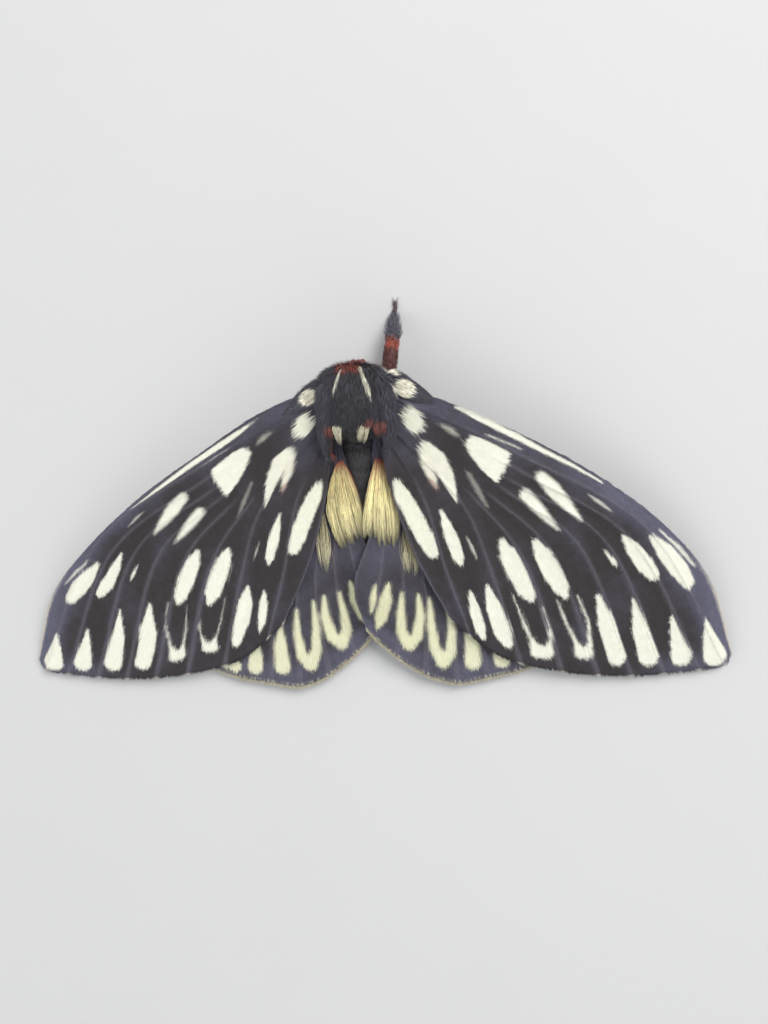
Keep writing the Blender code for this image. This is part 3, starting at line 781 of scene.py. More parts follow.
@dataclass(frozen=True)
class Tuft:
    """Shape of one closed tapered tuft, and how many of it make a joined coat.

    Attributes:
        sides: Corners of its cross-section.
        cuts: Cuts along it, at which it can bend.
        root: Width of its root, as a share of its full width.
        taper: Power on its width towards the tip, lower for a blunter tuft.
        flat: Whether it is a flat scale, whose faces keep their own normals.
    """

    sides: int = 3
    cuts: int = 0
    root: float = 1.0
    taper: float = 1.0
    flat: bool = False

    def template(self) -> tuple[Array, Array, Array]:
        """Shape one tuft from a cone with its point at the tip.

        Returns:
            Share of the length and angle of each vertex, and the vertices of each face.
        """
        bm = bmesh.new()
        bmesh.ops.create_cone(bm, cap_ends=True, segments=self.sides, radius1=0.0, radius2=1.0, depth=1.0)
        for cut in range(1, self.cuts + 1):
            level = 0.5 - cut / (self.cuts + 1)
            whole = bm.verts[:] + bm.edges[:] + bm.faces[:]
            bmesh.ops.bisect_plane(bm, geom=whole, plane_co=(0, 0, level), plane_no=(0, 0, 1))
        bmesh.ops.triangulate(bm, faces=bm.faces)
        points = coordinates(bm.verts)
        share = 0.5 - points[:, 2]
        angle = np.arctan2(points[:, 1], points[:, 0])
        bm.verts.index_update()
        faces = np.array([[vert.index for vert in face.verts] for face in bm.faces])
        bm.free()
        return share, angle, faces

    def sow(self, name: str, root: Array, bend: Array, tip: Array, up: Array, width: Array, depth: Array,
            unwrap: Array, values: Places) -> bpy.types.Object:
        """Make one joined mesh with a tuft at each place.

        Args:
            name: Name of the piece.
            root: Root of each tuft, in metres.
            bend: Point that each tuft bends towards.
            tip: Tip of each tuft.
            up: Direction that faces away from the skin.
            width: Half width of each tuft.
            depth: Half thickness of each tuft.
            unwrap: Place of each root on the skin's own unwrap, from 0 to 1.
            values: Attributes of each tuft, one number or one for each end, root first.

        Returns:
            The coat piece.
        """
        t, angle, faces = self.template()
        count, each = len(root), len(t)
        ahead = unit(tip - root)
        across = unit(np.cross(ahead, up))
        rise = unit(np.cross(across, ahead))
        size = np.minimum(1.0, self.root + ROOT_GROWTH * t) * np.maximum(1 - t, 0.0) ** self.taper
        spine = ((1 - t) ** 2)[None, :, None] * root[:, None] + (t ** 2)[None, :, None] * tip[:, None]
        spine += (2 * t * (1 - t))[None, :, None] * bend[:, None]
        sideways = (size * np.cos(angle))[None, :, None] * (across * width[:, None])[:, None]
        upwards = (size * np.sin(angle))[None, :, None] * (rise * depth[:, None])[:, None]
        points = (spine + sideways + upwards).reshape(-1, 3)
        points[:, 2] = np.maximum(points[:, 2], FLOOR_GAP * MM)
        corners = (faces[None] + (np.arange(count) * each)[:, None, None]).reshape(-1, 3)
        mesh = bpy.data.meshes.new(name)
        mesh.vertices.add(len(points))
        mesh.vertices.foreach_set("co", points.astype(np.float32).ravel())
        mesh.loops.add(corners.size)
        mesh.loops.foreach_set("vertex_index", corners.astype(np.int32).ravel())
        mesh.polygons.add(len(corners))
        mesh.polygons.foreach_set("loop_start", np.arange(0, corners.size, 3, dtype=np.int32))
        mesh.update(calc_edges=True)
        mesh.validate()
        patch = np.column_stack((t - 0.5, np.cos(angle) * 0.5)) * BAKE_PATCH
        inner = np.clip(unwrap, 0, 1) * (1 - 2 * BAKE_MARGIN) + BAKE_MARGIN
        spots = (inner[:, None] + patch[None]).reshape(-1, 2)[corners.ravel()]
        mesh.uv_layers.new(name=BAKE_MAP).uv.foreach_set("vector", spots.astype(np.float32).ravel())
        spread = {}
        for key, numbers in values.items():
            ends = numbers if numbers.ndim == 2 else np.column_stack((numbers, numbers))
            spread[key] = (ends[:, :1] * (1 - t) + ends[:, 1:] * t).ravel()
        set_attributes(mesh, spread)
        if self.flat:
            mesh.shade_flat()
        else:
            mesh.shade_smooth()
        return add_object(name, mesh)


SCALE_TUFT = Tuft(flat=True)
HAIR_TUFT = Tuft(sides=3, cuts=1, root=0.6, taper=0.8)
LONG_HAIR_TUFT = Tuft(sides=3, cuts=3, root=0.5, taper=0.6)
CLAW_TUFT = Tuft(sides=6, cuts=4, root=1.0, taper=0.7)
TOOTH_TUFT = Tuft(sides=4, cuts=1, root=0.8, taper=0.6)


# Wings

# Veins and front edge: share of a line over which a vein begins, width of the bloom beside a vein in
# millimetres, number of lines over which the front edge rolls down, and how soon the roll is full
VEIN_FADE = 0.04
VEIN_BLOOM = 0.6
ROLL_LINES = 1.5
ROLL_GROWTH = 1.6

# Scales, in millimetres unless said otherwise: factors on length and width on the lower face, turn within the
# face, depth of the root below the face, heights of bend and tip over the root, thickness as a share of the
# width, and the furthest that a scale reaches past the margin
UNDER_LENGTH = 1.5
UNDER_WIDTH = 1.7
SCALE_TURN = 0.07
SCALE_SINK = 0.03
SCALE_BEND = 0.09
SCALE_TIPS = (0.04, 0.08)
SCALE_DEPTH = 0.12
SCALE_OVERHANG = 0.15


@dataclass
class Wing:
    """One wing: a thin skin over a fan of lines, its two coats of scales and its fringe.

    Attributes:
        name: Name of its solid.
        side: The moth's side that it is on.
        lines: Lines from the front edge to the inner edge.
        marks: Its pale marks.
        height: Height of its upper surface over a plan place, in millimetres.
        finish: Finish of skin and scales.
        swing: Turn about the hind wing's hinge.
        roll: How far the front edge rolls down.
        hind: Whether it is a hind wing.
        stations: Faces of the skin from root to margin.
        rows: Faces of the skin between two lines.
        thickness: Thickness of the skin, in millimetres like the sizes below.
        sink: Depth of the skin's face below the solid's.
        vein_rise: Height of the veins.
        vein_spread: Half width of the veins.
        pleat: Depth of the hollows between veins.
        scales: Number of tufts on the upper face.
        scale_pieces: Number of pieces that they are joined into.
        under_scales: Number of tufts on the lower face.
        scale_length: Length of a tuft at the wing's middle.
        scale_width: Half width of a tuft, at its root.
        serration: How far the tufts' ends blur a mark along the lie.
        fringe: Number of tufts along the margin.
        nudges: Places where this wing's marks lie off the other wing's: X, Y, reach, and shift in X and Y.
        front_mark: Pale line along the front edge, which no nudge moves.
        swell: How far the marks reach beyond their chains, in millimetres.
        starts: Start of each line's vein, as a share of the line.
        fan: Points along each line.
    """

    name: str
    side: Side
    lines: tuple
    marks: tuple[Mark, ...]
    height: Callable[[Array, Array], Array]
    finish: ScaleFinish
    swing: float = 0.0
    roll: float = 0.0
    hind: bool = False
    stations: int = 150
    rows: int = 9
    thickness: float = 0.32
    sink: float = 0.1
    vein_rise: float = 0.16
    vein_spread: float = 0.26
    pleat: float = 0.14
    scales: int = 66000
    scale_pieces: int = 2
    under_scales: int = 11000
    scale_length: float = 0.95
    scale_width: float = 0.1
    serration: float = 0.16
    fringe: int = 3200
    nudges: tuple = ()
    front_mark: Optional[Mark] = None
    swell: float = 0.0
    starts: Array = field(init=False)
    fan: Array = field(init=False)

    def __post_init__(self) -> None:
        """Read the start of each line's vein, and points along each line."""
        self.starts = np.array([line[0] for line in self.lines])
        steps = np.linspace(0, 1, LINE_STEPS + 1)
        self.fan = np.array([along(np.array(line[1]), steps) for line in self.lines])

    @property
    def last(self) -> int:
        """Number of the last line."""
        return len(self.lines) - 1

    def still_plan(self, u: Array, v: Array) -> Array:
        """Plan place before the wing is swung.

        Args:
            u: Share of the way from root to margin.
            v: Share of the way from the front edge to the inner edge.

        Returns:
            X and Y of each place, in millimetres.
        """
        i = np.clip((u * LINE_STEPS).astype(int), 0, LINE_STEPS - 1)
        w = (u * LINE_STEPS - i)[:, None]
        return smooth_curve(lambda line: self.fan[line, i] * (1 - w) + self.fan[line, i + 1] * w,
                            self.last, v)

    def plan(self, u: Array, v: Array) -> Array:
        """Plan place of the wing as it is held.

        Args:
            u: Share of the way from root to margin.
            v: Share of the way from the front edge to the inner edge.

        Returns:
            X and Y of each place, in millimetres.
        """
        x, y = (self.still_plan(u, v) - HIND_HINGE).T
        cos, sin = math.cos(self.swing), math.sin(self.swing)
        return np.column_stack((x * cos - y * sin, x * sin + y * cos)) + HIND_HINGE

    def nearest_line(self, u: Array, v: Array) -> tuple[Array, Array]:
        """Nearest line of each place.

        Args:
            u: Share of the way from root to margin.
            v: Share of the way from the front edge to the inner edge.

        Returns:
            Number of the line, and distance to it in millimetres.
        """
        row = v * self.last
        pitch = np.linalg.norm(self.plan(u, v + PITCH_STEP) - self.plan(u, v - PITCH_STEP), axis=1)
        line = np.clip(np.rint(row), 0, self.last).astype(int)
        return line, np.abs(row - line) * pitch / (2 * PITCH_STEP * self.last)

    def vein(self, u: Array, v: Array) -> Array:
        """How close each place is to a vein, 1 on its crest."""
        line, away = self.nearest_line(u, v)
        return np.exp(-(away / self.vein_spread) ** 2) * ramp(-VEIN_FADE, VEIN_FADE, u - self.starts[line])

    def level(self, u: Array, v: Array, lift: float) -> Array:
        """Points of the wing's face.

        Args:
            u: Share of the way from root to margin.
            v: Share of the way from the front edge to the inner edge.
            lift: Height over the solid's face, in millimetres.

        Returns:
            Points in the frame's metres.
        """
        place = self.plan(u, v)
        row = v * self.last
        edge = self.roll * np.maximum(0.0, 1.0 - row / ROLL_LINES) ** 2
        edge *= np.sin(math.pi / 2 * np.minimum(u * ROLL_GROWTH, 1.0))
        hollow = self.pleat * (0.5 - 0.5 * np.cos(2 * math.pi * row)) * ramp(0.2, 0.6, u)
        z = self.height(*place.T) - edge - hollow + self.vein_rise * self.vein(u, v) + lift
        return to_frame(np.column_stack((place, z)), self.side)

    def upper(self, u: Array, v: Array) -> Array:
        """Points of the skin's upper face."""
        return self.level(u, v, -self.sink)

    def lower(self, u: Array, v: Array) -> Array:
        """Points of the skin's lower face."""
        return self.level(u, v, -self.sink - self.thickness)

    def bloom(self, u: Array, v: Array, plan: Array) -> Array:
        """Blue-grey bloom of the ground, by root, margin, front edge and veins, and in soft clouds; along the
        front edge's outer half and at the apex it is painted sheen.

        Args:
            u: Share of the way from root to margin.
            v: Share of the way from the front edge to the inner edge.
            plan: Plan place of each, before the wing is swung.

        Returns:
            A share for each place.
        """
        if self.hind:
            ends = 0.2 * ramp(0.55, 0.4, u) + 0.35 * ramp(0.86, 0.93, u)
            return 0.25 + ends + 0.15 * waves(plan, 11.0, 4)
        row = v * self.last
        # Painted sheen: lighter blue-grey along the front edge, strongest on its outer half, and at the apex
        front = ramp(2.2, 0.3, row) * (0.35 + 0.5 * ramp(0.3, 0.6, u))
        margin = ramp(0.93, 0.99, u) * ramp(5.0, 2.0, row) * 0.4
        root = ramp(0.25, 0.05, u) * 0.25
        line, away = self.nearest_line(u, v)
        veins = np.exp(-(away / VEIN_BLOOM) ** 2) * ramp(0.5, 0.75, u) * (self.starts[line] < NO_VEIN)
        return front + margin + root + 0.16 * waves(plan, 14.0, 3) + 0.22 * veins

    def marking(self, plan: Array) -> tuple[Array, Array]:
        """Paleness and blush of the marks.

        Args:
            plan: X and Y of each place before the wing is swung, in millimetres.

        Returns:
            Two shares for each place.
        """
        shift = np.zeros_like(plan)
        for x, y, reach, aside, ahead in self.nudges:
            away = (plan[:, :1] - x) ** 2 + (plan[:, 1:] - y) ** 2
            shift += np.exp(-away / reach ** 2) * (aside, ahead)
        marked = plan - shift
        placed = [(mark, marked) for mark in self.marks]
        if self.front_mark:
            placed.append((self.front_mark, plan))
        pale = np.zeros(len(plan))
        blush = np.zeros(len(plan))
        for mark, places in placed:
            here = mark.paleness(places, self.swell)
            blush = np.where(here > pale, mark.blush, blush)
            pale = np.maximum(pale, here)
        return pale, blush

    def looks(self, u: Array, v: Array, drift: Array, shade: Array) -> Places:
        """Colours of the wing at each place.

        Args:
            u: Share of the way from root to margin.
            v: Share of the way from the front edge to the inner edge.
            drift: Share of the way by which the marks are read further out.
            shade: Light or dark of each place, from 0 to 1.

        Returns:
            Values of the attributes that the finish reads.
        """
        plan = self.still_plan(np.clip(u + drift, 0, 1), v)
        pale, blush = self.marking(plan)
        if self.hind:
            edge, yellow = ramp(0.988, 0.998, u) * 0.85, 0.5
        else:
            edge, yellow = ramp(0.014, 0.005, v) * ramp(0.72, 0.9, u) * 0.75, 0.0
        # The tone carries the blue-grey bloom, which is painted sheen along the front edge and at the apex
        return {"pale": np.maximum(pale, edge), "blush": np.maximum(blush, edge * 0.5),
                "warm": np.clip(ramp(20.0, 0.0, plan[:, 0]) * 0.15 + yellow, 0, 1),
                "tone": np.clip(self.bloom(u, v, plan), 0, 1),
                "rib": self.vein(u, v) * 0.36 * ramp(0.1, 0.35, u), "shade": shade}

    def build_skin(self) -> bpy.types.Object:
        """Make the skin as one closed shell with the markings in it.

        Returns:
            The skin.
        """
        bm = bmesh.new()
        bmesh.ops.create_grid(bm, x_segments=self.stations, y_segments=self.rows * self.last, size=0.5)
        count = len(bm.verts)
        bmesh.ops.extrude_face_region(bm, geom=bm.faces[:], use_keep_orig=True)
        u, v = np.clip(coordinates(bm.verts)[:, :2].T + 0.5, 0, 1)
        set_coordinates(bm, np.vstack((self.upper(u[:count], v[:count]), self.lower(u[count:], v[count:]))))
        skin = from_bmesh(bm, self.name + "_skin")
        plan = self.still_plan(u, v)
        shade = np.clip(0.5 + 0.4 * waves(plan, 3.0, 8), 0, 1)
        set_attributes(skin.data, self.looks(u, v, 0.003 * waves(plan, 0.8, 5), shade))
        return skin

    def build_scales(self, rng: np.random.Generator, under: bool) -> list[bpy.types.Object]:
        """Make the coat of scale tufts of one face.

        Args:
            rng: Source of the random draws.
            under: Whether the lower face is meant.

        Returns:
            The coat's pieces, from the front edge to the inner edge.
        """
        face = self.lower if under else self.upper
        count = self.under_scales if under else self.scales
        u, v = scatter(count, face, rng, high=(0.993, 1.0))
        order = np.argsort(v)
        u, v = u[order], v[order]
        root, lie, normal = frame_at(face, u, v)
        normal *= np.sign(normal[:, 2:]) * (-1 if under else 1)
        lie = strayed(lie, normal, SCALE_TURN, rng)
        reach = self.scale_length * rng.uniform(0.75, 1.25, count) * (1 + 1.2 * ramp(0.3, 0.05, u)) * MM
        reach *= UNDER_LENGTH if under else 1.0
        to_margin = np.linalg.norm(face(np.ones(count), v) - root, axis=1)
        reach = np.minimum(reach, to_margin + SCALE_OVERHANG * MM)
        width = self.scale_width * rng.uniform(0.75, 1.3, count) * (UNDER_WIDTH if under else 1.0) * MM
        root = root - normal * SCALE_SINK * MM
        bend = root + lie * (reach * 0.5)[:, None] + normal * SCALE_BEND * MM
        tip = root + lie * reach[:, None] + normal * (rng.uniform(*SCALE_TIPS, count) * MM)[:, None]
        travel = np.linalg.norm(face(u + SLOPE_STEP, v) - face(u - SLOPE_STEP, v), axis=1)
        pace = travel / (2 * SLOPE_STEP)
        drift = (reach * 0.5 + rng.normal(0, self.serration * MM, count)) / pace
        values = self.looks(u, v, drift, rng.uniform(0, 1, count))
        unwrap = np.column_stack((u, v))
        pieces = []
        total = 1 if under else self.scale_pieces
        for number, part in enumerate(np.array_split(np.arange(count), total), 1):
            name = f"{self.name}_{'under_' if under else ''}scales_{number}"
            looks = {key: numbers[part] for key, numbers in values.items()}
            pieces.append(SCALE_TUFT.sow(name, root[part], bend[part], tip[part], normal[part], width[part],
                                         width[part] * SCALE_DEPTH, unwrap[part], looks))
        return pieces

    def build_fringe(self, rng: np.random.Generator) -> bpy.types.Object:
        """Make the fringe of short tufts along the outer margin, paler at the veins.

        Args:
            rng: Source of the random draws.

        Returns:
            The fringe.
        """
        count = self.fringe
        v = rng.uniform(0, 1, count)
        u = rng.uniform(0.988, 0.999, count)
        root, lie, normal = frame_at(lambda a, b: self.level(a, b, -self.sink - self.thickness / 2), u, v)
        normal *= np.sign(normal[:, 2:])
        lie = strayed(lie, normal, 0.12, rng)
        line, away = self.nearest_line(u, v)
        reach = rng.uniform(0.55, 0.95, count) * MM
        tip = root + lie * reach[:, None] + normal * (rng.uniform(-0.12, 0.12, count) * MM)[:, None]
        width = rng.uniform(0.07, 0.13, count) * MM
        values = self.looks(u, v, np.zeros(count), rng.uniform(0, 1, count))
        at_vein = np.exp(-(away / 0.45) ** 2) * (self.starts[line] < NO_VEIN)
        pale = np.full(count, 0.85) if self.hind else 0.8 * at_vein
        values["pale"] = pale * rng.uniform(0.6, 1.0, count)
        values["blush"] = rng.uniform(0.1, 0.5, count)
        return SCALE_TUFT.sow(self.name + "_fringe", root, (root + tip) / 2, tip, normal, width, width * 0.5,
                              np.column_stack((u, v)), values)

    def build(self, rng: np.random.Generator) -> None:
        """Make and dress the wing's pieces.

        Args:
            rng: Source of the random draws.
        """
        material = self.finish.build()
        dress(self.build_skin(), material, (self.name,))
        for coat in self.build_scales(rng, under=False) + self.build_scales(rng, under=True):
            dress(coat, material)
        dress(self.build_fringe(rng), material)


def fore_height(x: Array, y: Array) -> Array:
    """Height of the fore wings' upper surface over a plan place, in millimetres."""
    return WING_ROOT_HEIGHT - ROOF_SLOPE * (x - WING_ROOT_X) + REAR_SLOPE * (y - WING_ROOT_Y)


def hind_height(x: Array, y: Array) -> Array:
    """Height of the right hind wing, which rides up over the abdomen.

    Args:
        x: X of each place, in millimetres.
        y: Y of each place.

    Returns:
        Heights in millimetres.
    """
    drop = HIND_DROP + HIND_ROOT_DROP * ramp(-12, 2, y)
    hump = BODY_HUMP * np.exp(-(x / BODY_HUMP_WIDTH) ** 2) * ramp(-19, -12, y)
    return fore_height(x, y) - drop + hump


def left_hind_height(x: Array, y: Array) -> Array:
    """Height of the left hind wing, whose inner edge lies beneath the right one's."""
    return hind_height(x, y) - MIDLINE_STEP * (1 - ramp(3.5, 9, x)) * (1 - ramp(3, 8, y))


# Body


@dataclass(frozen=True)
class Swept:
    """Form swept along a smooth path, with an elliptic section.

    Attributes:
        path: Points of its centre line, in millimetres.
        half_widths: Half width at each point.
        half_heights: Half height at each point.
    """

    path: tuple
    half_widths: tuple[float, ...]
    half_heights: tuple[float, ...]

    def point(self, t: Array, turn: Array, lift: float = 0.0, side: Side = Side.RIGHT) -> Array:
        """Points of the form.

        Args:
            t: Share of the way from front to rear.
            turn: Share of the turn round the centre line, 0 at the left and a quarter at the top.
            lift: Height over the form, in millimetres.
            side: Side that the form is on.

        Returns:
            Points in the frame's metres.
        """
        spine = np.array(self.path, float)
        t = np.clip(t, 0.0, 1.0)
        centre = along(spine, t)
        step = SPINE_STEP
        ahead = along(spine, np.minimum(t + step, 1.0)) - along(spine, np.maximum(t - step, 0.0))
        across = unit(np.cross(ahead, UP))
        up = unit(np.cross(across, ahead))
        wide = along(np.array(self.half_widths)[:, None], t)[:, 0] + lift
        high = along(np.array(self.half_heights)[:, None], t)[:, 0] + lift
        angle = turn * 2 * math.pi
        offset = across * (np.cos(angle) * wide)[:, None] + up * (np.sin(angle) * high)[:, None]
        return to_frame(centre + offset, side)

    def centre(self, t: Array, side: Side = Side.RIGHT) -> Array:
        """Points of the centre line, in the frame's metres."""
        return to_frame(along(np.array(self.path, float), np.clip(t, 0, 1)), side)

    def solid(self, sides: int, rings: int, lift: float = 0.0, side: Side = Side.RIGHT,
              pinch: Optional[Callable[[Array], Array]] = None) -> bmesh.types.BMesh:
        """Closed mesh of the form.

        Args:
            sides: Faces round it.
            rings: Faces along it.
            lift: Height over the form, in millimetres.
            side: Side that the form is on.
            pinch: Gives a factor on the size for each share of the length.

        Returns:
            A new bmesh, in metres.
        """
        bm = bmesh.new()
        bmesh.ops.create_uvsphere(bm, u_segments=sides, v_segments=rings, radius=1.0)
        points = coordinates(bm.verts)
        t = np.arccos(np.clip(points[:, 2], -1, 1)) / math.pi
        turn = np.arctan2(points[:, 1], points[:, 0]) / (2 * math.pi)
        outer = self.point(t, turn, lift, side)
        if pinch:
            centre = self.centre(t, side)
            outer = centre + (outer - centre) * pinch(t)[:, None]
        set_coordinates(bm, outer)
        return bm


# Forms of the body, from front to rear or from root to tip
THORAX = Swept(((0, 21.5, 9.6), (0, 20.6, 9.6), (0, 16.6, 8.9), (0, 12.8, 8.2), (0, 11.0, 7.9)),
               (0.0, 4.2, 5.4, 4.5, 0.0), (0.0, 3.6, 5.7, 4.7, 0.0))
ABDOMEN = Swept(((0, 13.4, 5.9), (0, 11.6, 5.6), (0, 7.5, 4.7), (0, 2.5, 3.7), (0, -2.5, 3.1),
                 (0, -7.0, 2.8), (0, -9.8, 2.6)),
                (0.0, 3.3, 3.7, 3.4, 3.0, 2.2, 0.0), (0.0, 3.1, 3.1, 2.7, 2.5, 2.0, 0.0))
HEAD = Swept(((0, 22.3, 4.2), (0, 21.9, 4.6), (0, 20.8, 5.6), (0, 19.5, 6.5), (0, 18.9, 6.9)),
             (0.0, 1.5, 2.4, 1.9, 0.0), (0.0, 1.2, 2.0, 1.6, 0.0))
COLLAR = Swept(((0, 21.3, 7.6), (0, 21.1, 7.8), (0, 20.2, 8.4), (0, 19.2, 9.0)),
               (0.0, 3.0, 3.6, 0.0), (0.0, 1.0, 1.2, 0.0))
PALP = Swept(((0.7, 21.2, 3.4), (0.8, 21.9, 3.2), (0.75, 22.4, 3.5), (0.7, 22.6, 4.2), (0.65, 22.5, 4.6)),
             (0.0, 0.5, 0.5, 0.4, 0.0), (0.0, 0.5, 0.5, 0.4, 0.0))
TEGULA = Swept(((3.4, 20.6, 11.6), (4.3, 18.6, 12.3), (4.8, 15.2, 12.4), (4.9, 12.0, 11.8),
                (4.6, 10.0, 11.2)),
               (0.0, 1.2, 1.15, 0.85, 0.0), (0.0, 1.1, 1.0, 0.7, 0.0))
SHOULDER = Swept(((3.6, 19.6, 10.8), (5.4, 19.1, 10.9), (7.8, 17.8, 10.5), (10.6, 16.2, 9.9),
                  (13.0, 14.9, 9.6)),
                 (0.0, 1.5, 1.5, 0.8, 0.0), (0.0, 1.2, 1.0, 0.7, 0.0))
SEGMENTS = 9

# Points that the hair lies away from
NECK = (0.0, 21.6, 6.2)
CROWN = (0.0, 20.6, 8.0)

# How far the left shoulder is held closer in and further back than the right one, in millimetres
LEFT_SETBACK = (1.0, 0.8)


class Pair(Enum):
    """The three pairs of legs."""

    FRONT = "front"
    MID = "mid"
    HIND = "hind"

    def leg(self, side: Side) -> str:
        """Name of one of its legs."""
        return f"leg_{self.value}_{side.word}"


LEG_RADII = (0.8, 1.05, 0.95, 0.7, 0.35, 0.32)
FRONT_LEG_PATHS = {
    Side.RIGHT: ((3.0, 18.0, 5.6), (4.3, 20.6, 4.2), (5.1, 24.6, 4.4), (5.3, 27.6, 2.6), (5.4, 29.6, 0.5),
                 (5.5, 31.9, 0.25)),
    Side.LEFT: ((3.0, 18.0, 5.6), (4.4, 18.9, 4.0), (6.4, 19.1, 3.6), (8.4, 18.0, 2.0), (9.6, 16.4, 0.5),
                (10.9, 14.6, 0.25)),
}
LEG_PATHS = {
    Pair.MID: ((2.8, 15.2, 5.2), (5.6, 15.2, 4.0), (8.8, 14.0, 4.6), (11.4, 11.4, 2.4), (12.6, 9.6, 0.5),
               (13.6, 7.6, 0.25)),
    Pair.HIND: ((2.8, 13.4, 5.2), (5.2, 11.6, 3.6), (7.6, 8.6, 4.2), (9.4, 5.0, 2.2), (10.2, 2.8, 0.5),
                (10.8, 0.6, 0.25)),
}


def leg_form(pair: Pair, side: Side) -> Swept:
    """Form of one leg from its path in the solids.

    Args:
        pair: Pair that the leg belongs to.
        side: Side of the leg.

    Returns:
        The leg's swept form, for the right side's frame.
    """
    path = FRONT_LEG_PATHS[side] if pair is Pair.FRONT else LEG_PATHS[pair]
    return Swept(path, LEG_RADII, LEG_RADII)


def lobe_form(lobe: Swept, side: Side) -> Swept:
    """Hairy lobe over the root of a fore wing.

    Args:
        lobe: The right side's lobe.
        side: Side of the lobe.

    Returns:
        The lobe's form, for the right side's frame.
    """
    inward, back = LEFT_SETBACK if side is Side.LEFT else (0.0, 0.0)
    path = tuple((x - inward, y - back, z) for x, y, z in lobe.path)
    return Swept(path, lobe.half_widths, lobe.half_heights)


# Pale marks on thorax and shoulders
BACK_MARKS = (
    Mark(((-1.4, 20.9, 0.08), (-1.8, 19.6, 0.2), (-2.3, 18.0, 0.14)), fade=0.1),
    Mark(((1.3, 21.0, 0.2), (1.6, 20.2, 0.16), (2.2, 18.6, 0.3), (2.8, 17.0, 0.14)), fade=0.1),
    Mark(((7.1, 18.1, 1.3), (7.5, 17.9, 1.3)), fade=0.1),
    Mark(((-6.1, 17.4, 1.15), (-6.5, 17.2, 1.15)), fade=0.1),
    Mark(((4.2, 21.1, 0.1), (5.3, 20.6, 0.4), (6.4, 19.9, 0.15)), fade=0.1),
)


@dataclass(frozen=True)
class Hair:
    """Hair of one part of the body.

    Attributes:
        count: Number of tufts.
        length: Least and greatest length of a tuft, in millimetres.
        width: Half width of a tuft, in millimetres.
        stand: How steeply the tufts stand, as rise over length.
    """

    count: int
    length: tuple[float, float]
    width: float
    stand: float


THORAX_HAIR = Hair(12000, (1.5, 2.5), 0.07, 0.16)
COLLAR_HAIR = Hair(1300, (0.9, 1.5), 0.055, 0.3)
ABDOMEN_HAIR = Hair(6000, (0.9, 1.5), 0.08, 0.12)
FACE_HAIR = Hair(4200, (0.5, 0.9), 0.045, 0.35)
PALP_HAIR = Hair(700, (0.35, 0.6), 0.035, 0.4)
TEGULA_HAIR = Hair(2400, (1.6, 2.6), 0.075, 0.16)
SHOULDER_HAIR = Hair(2400, (1.0, 1.6), 0.075, 0.16)
LEG_HAIR = Hair(1000, (0.8, 1.3), 0.06, 0.32)


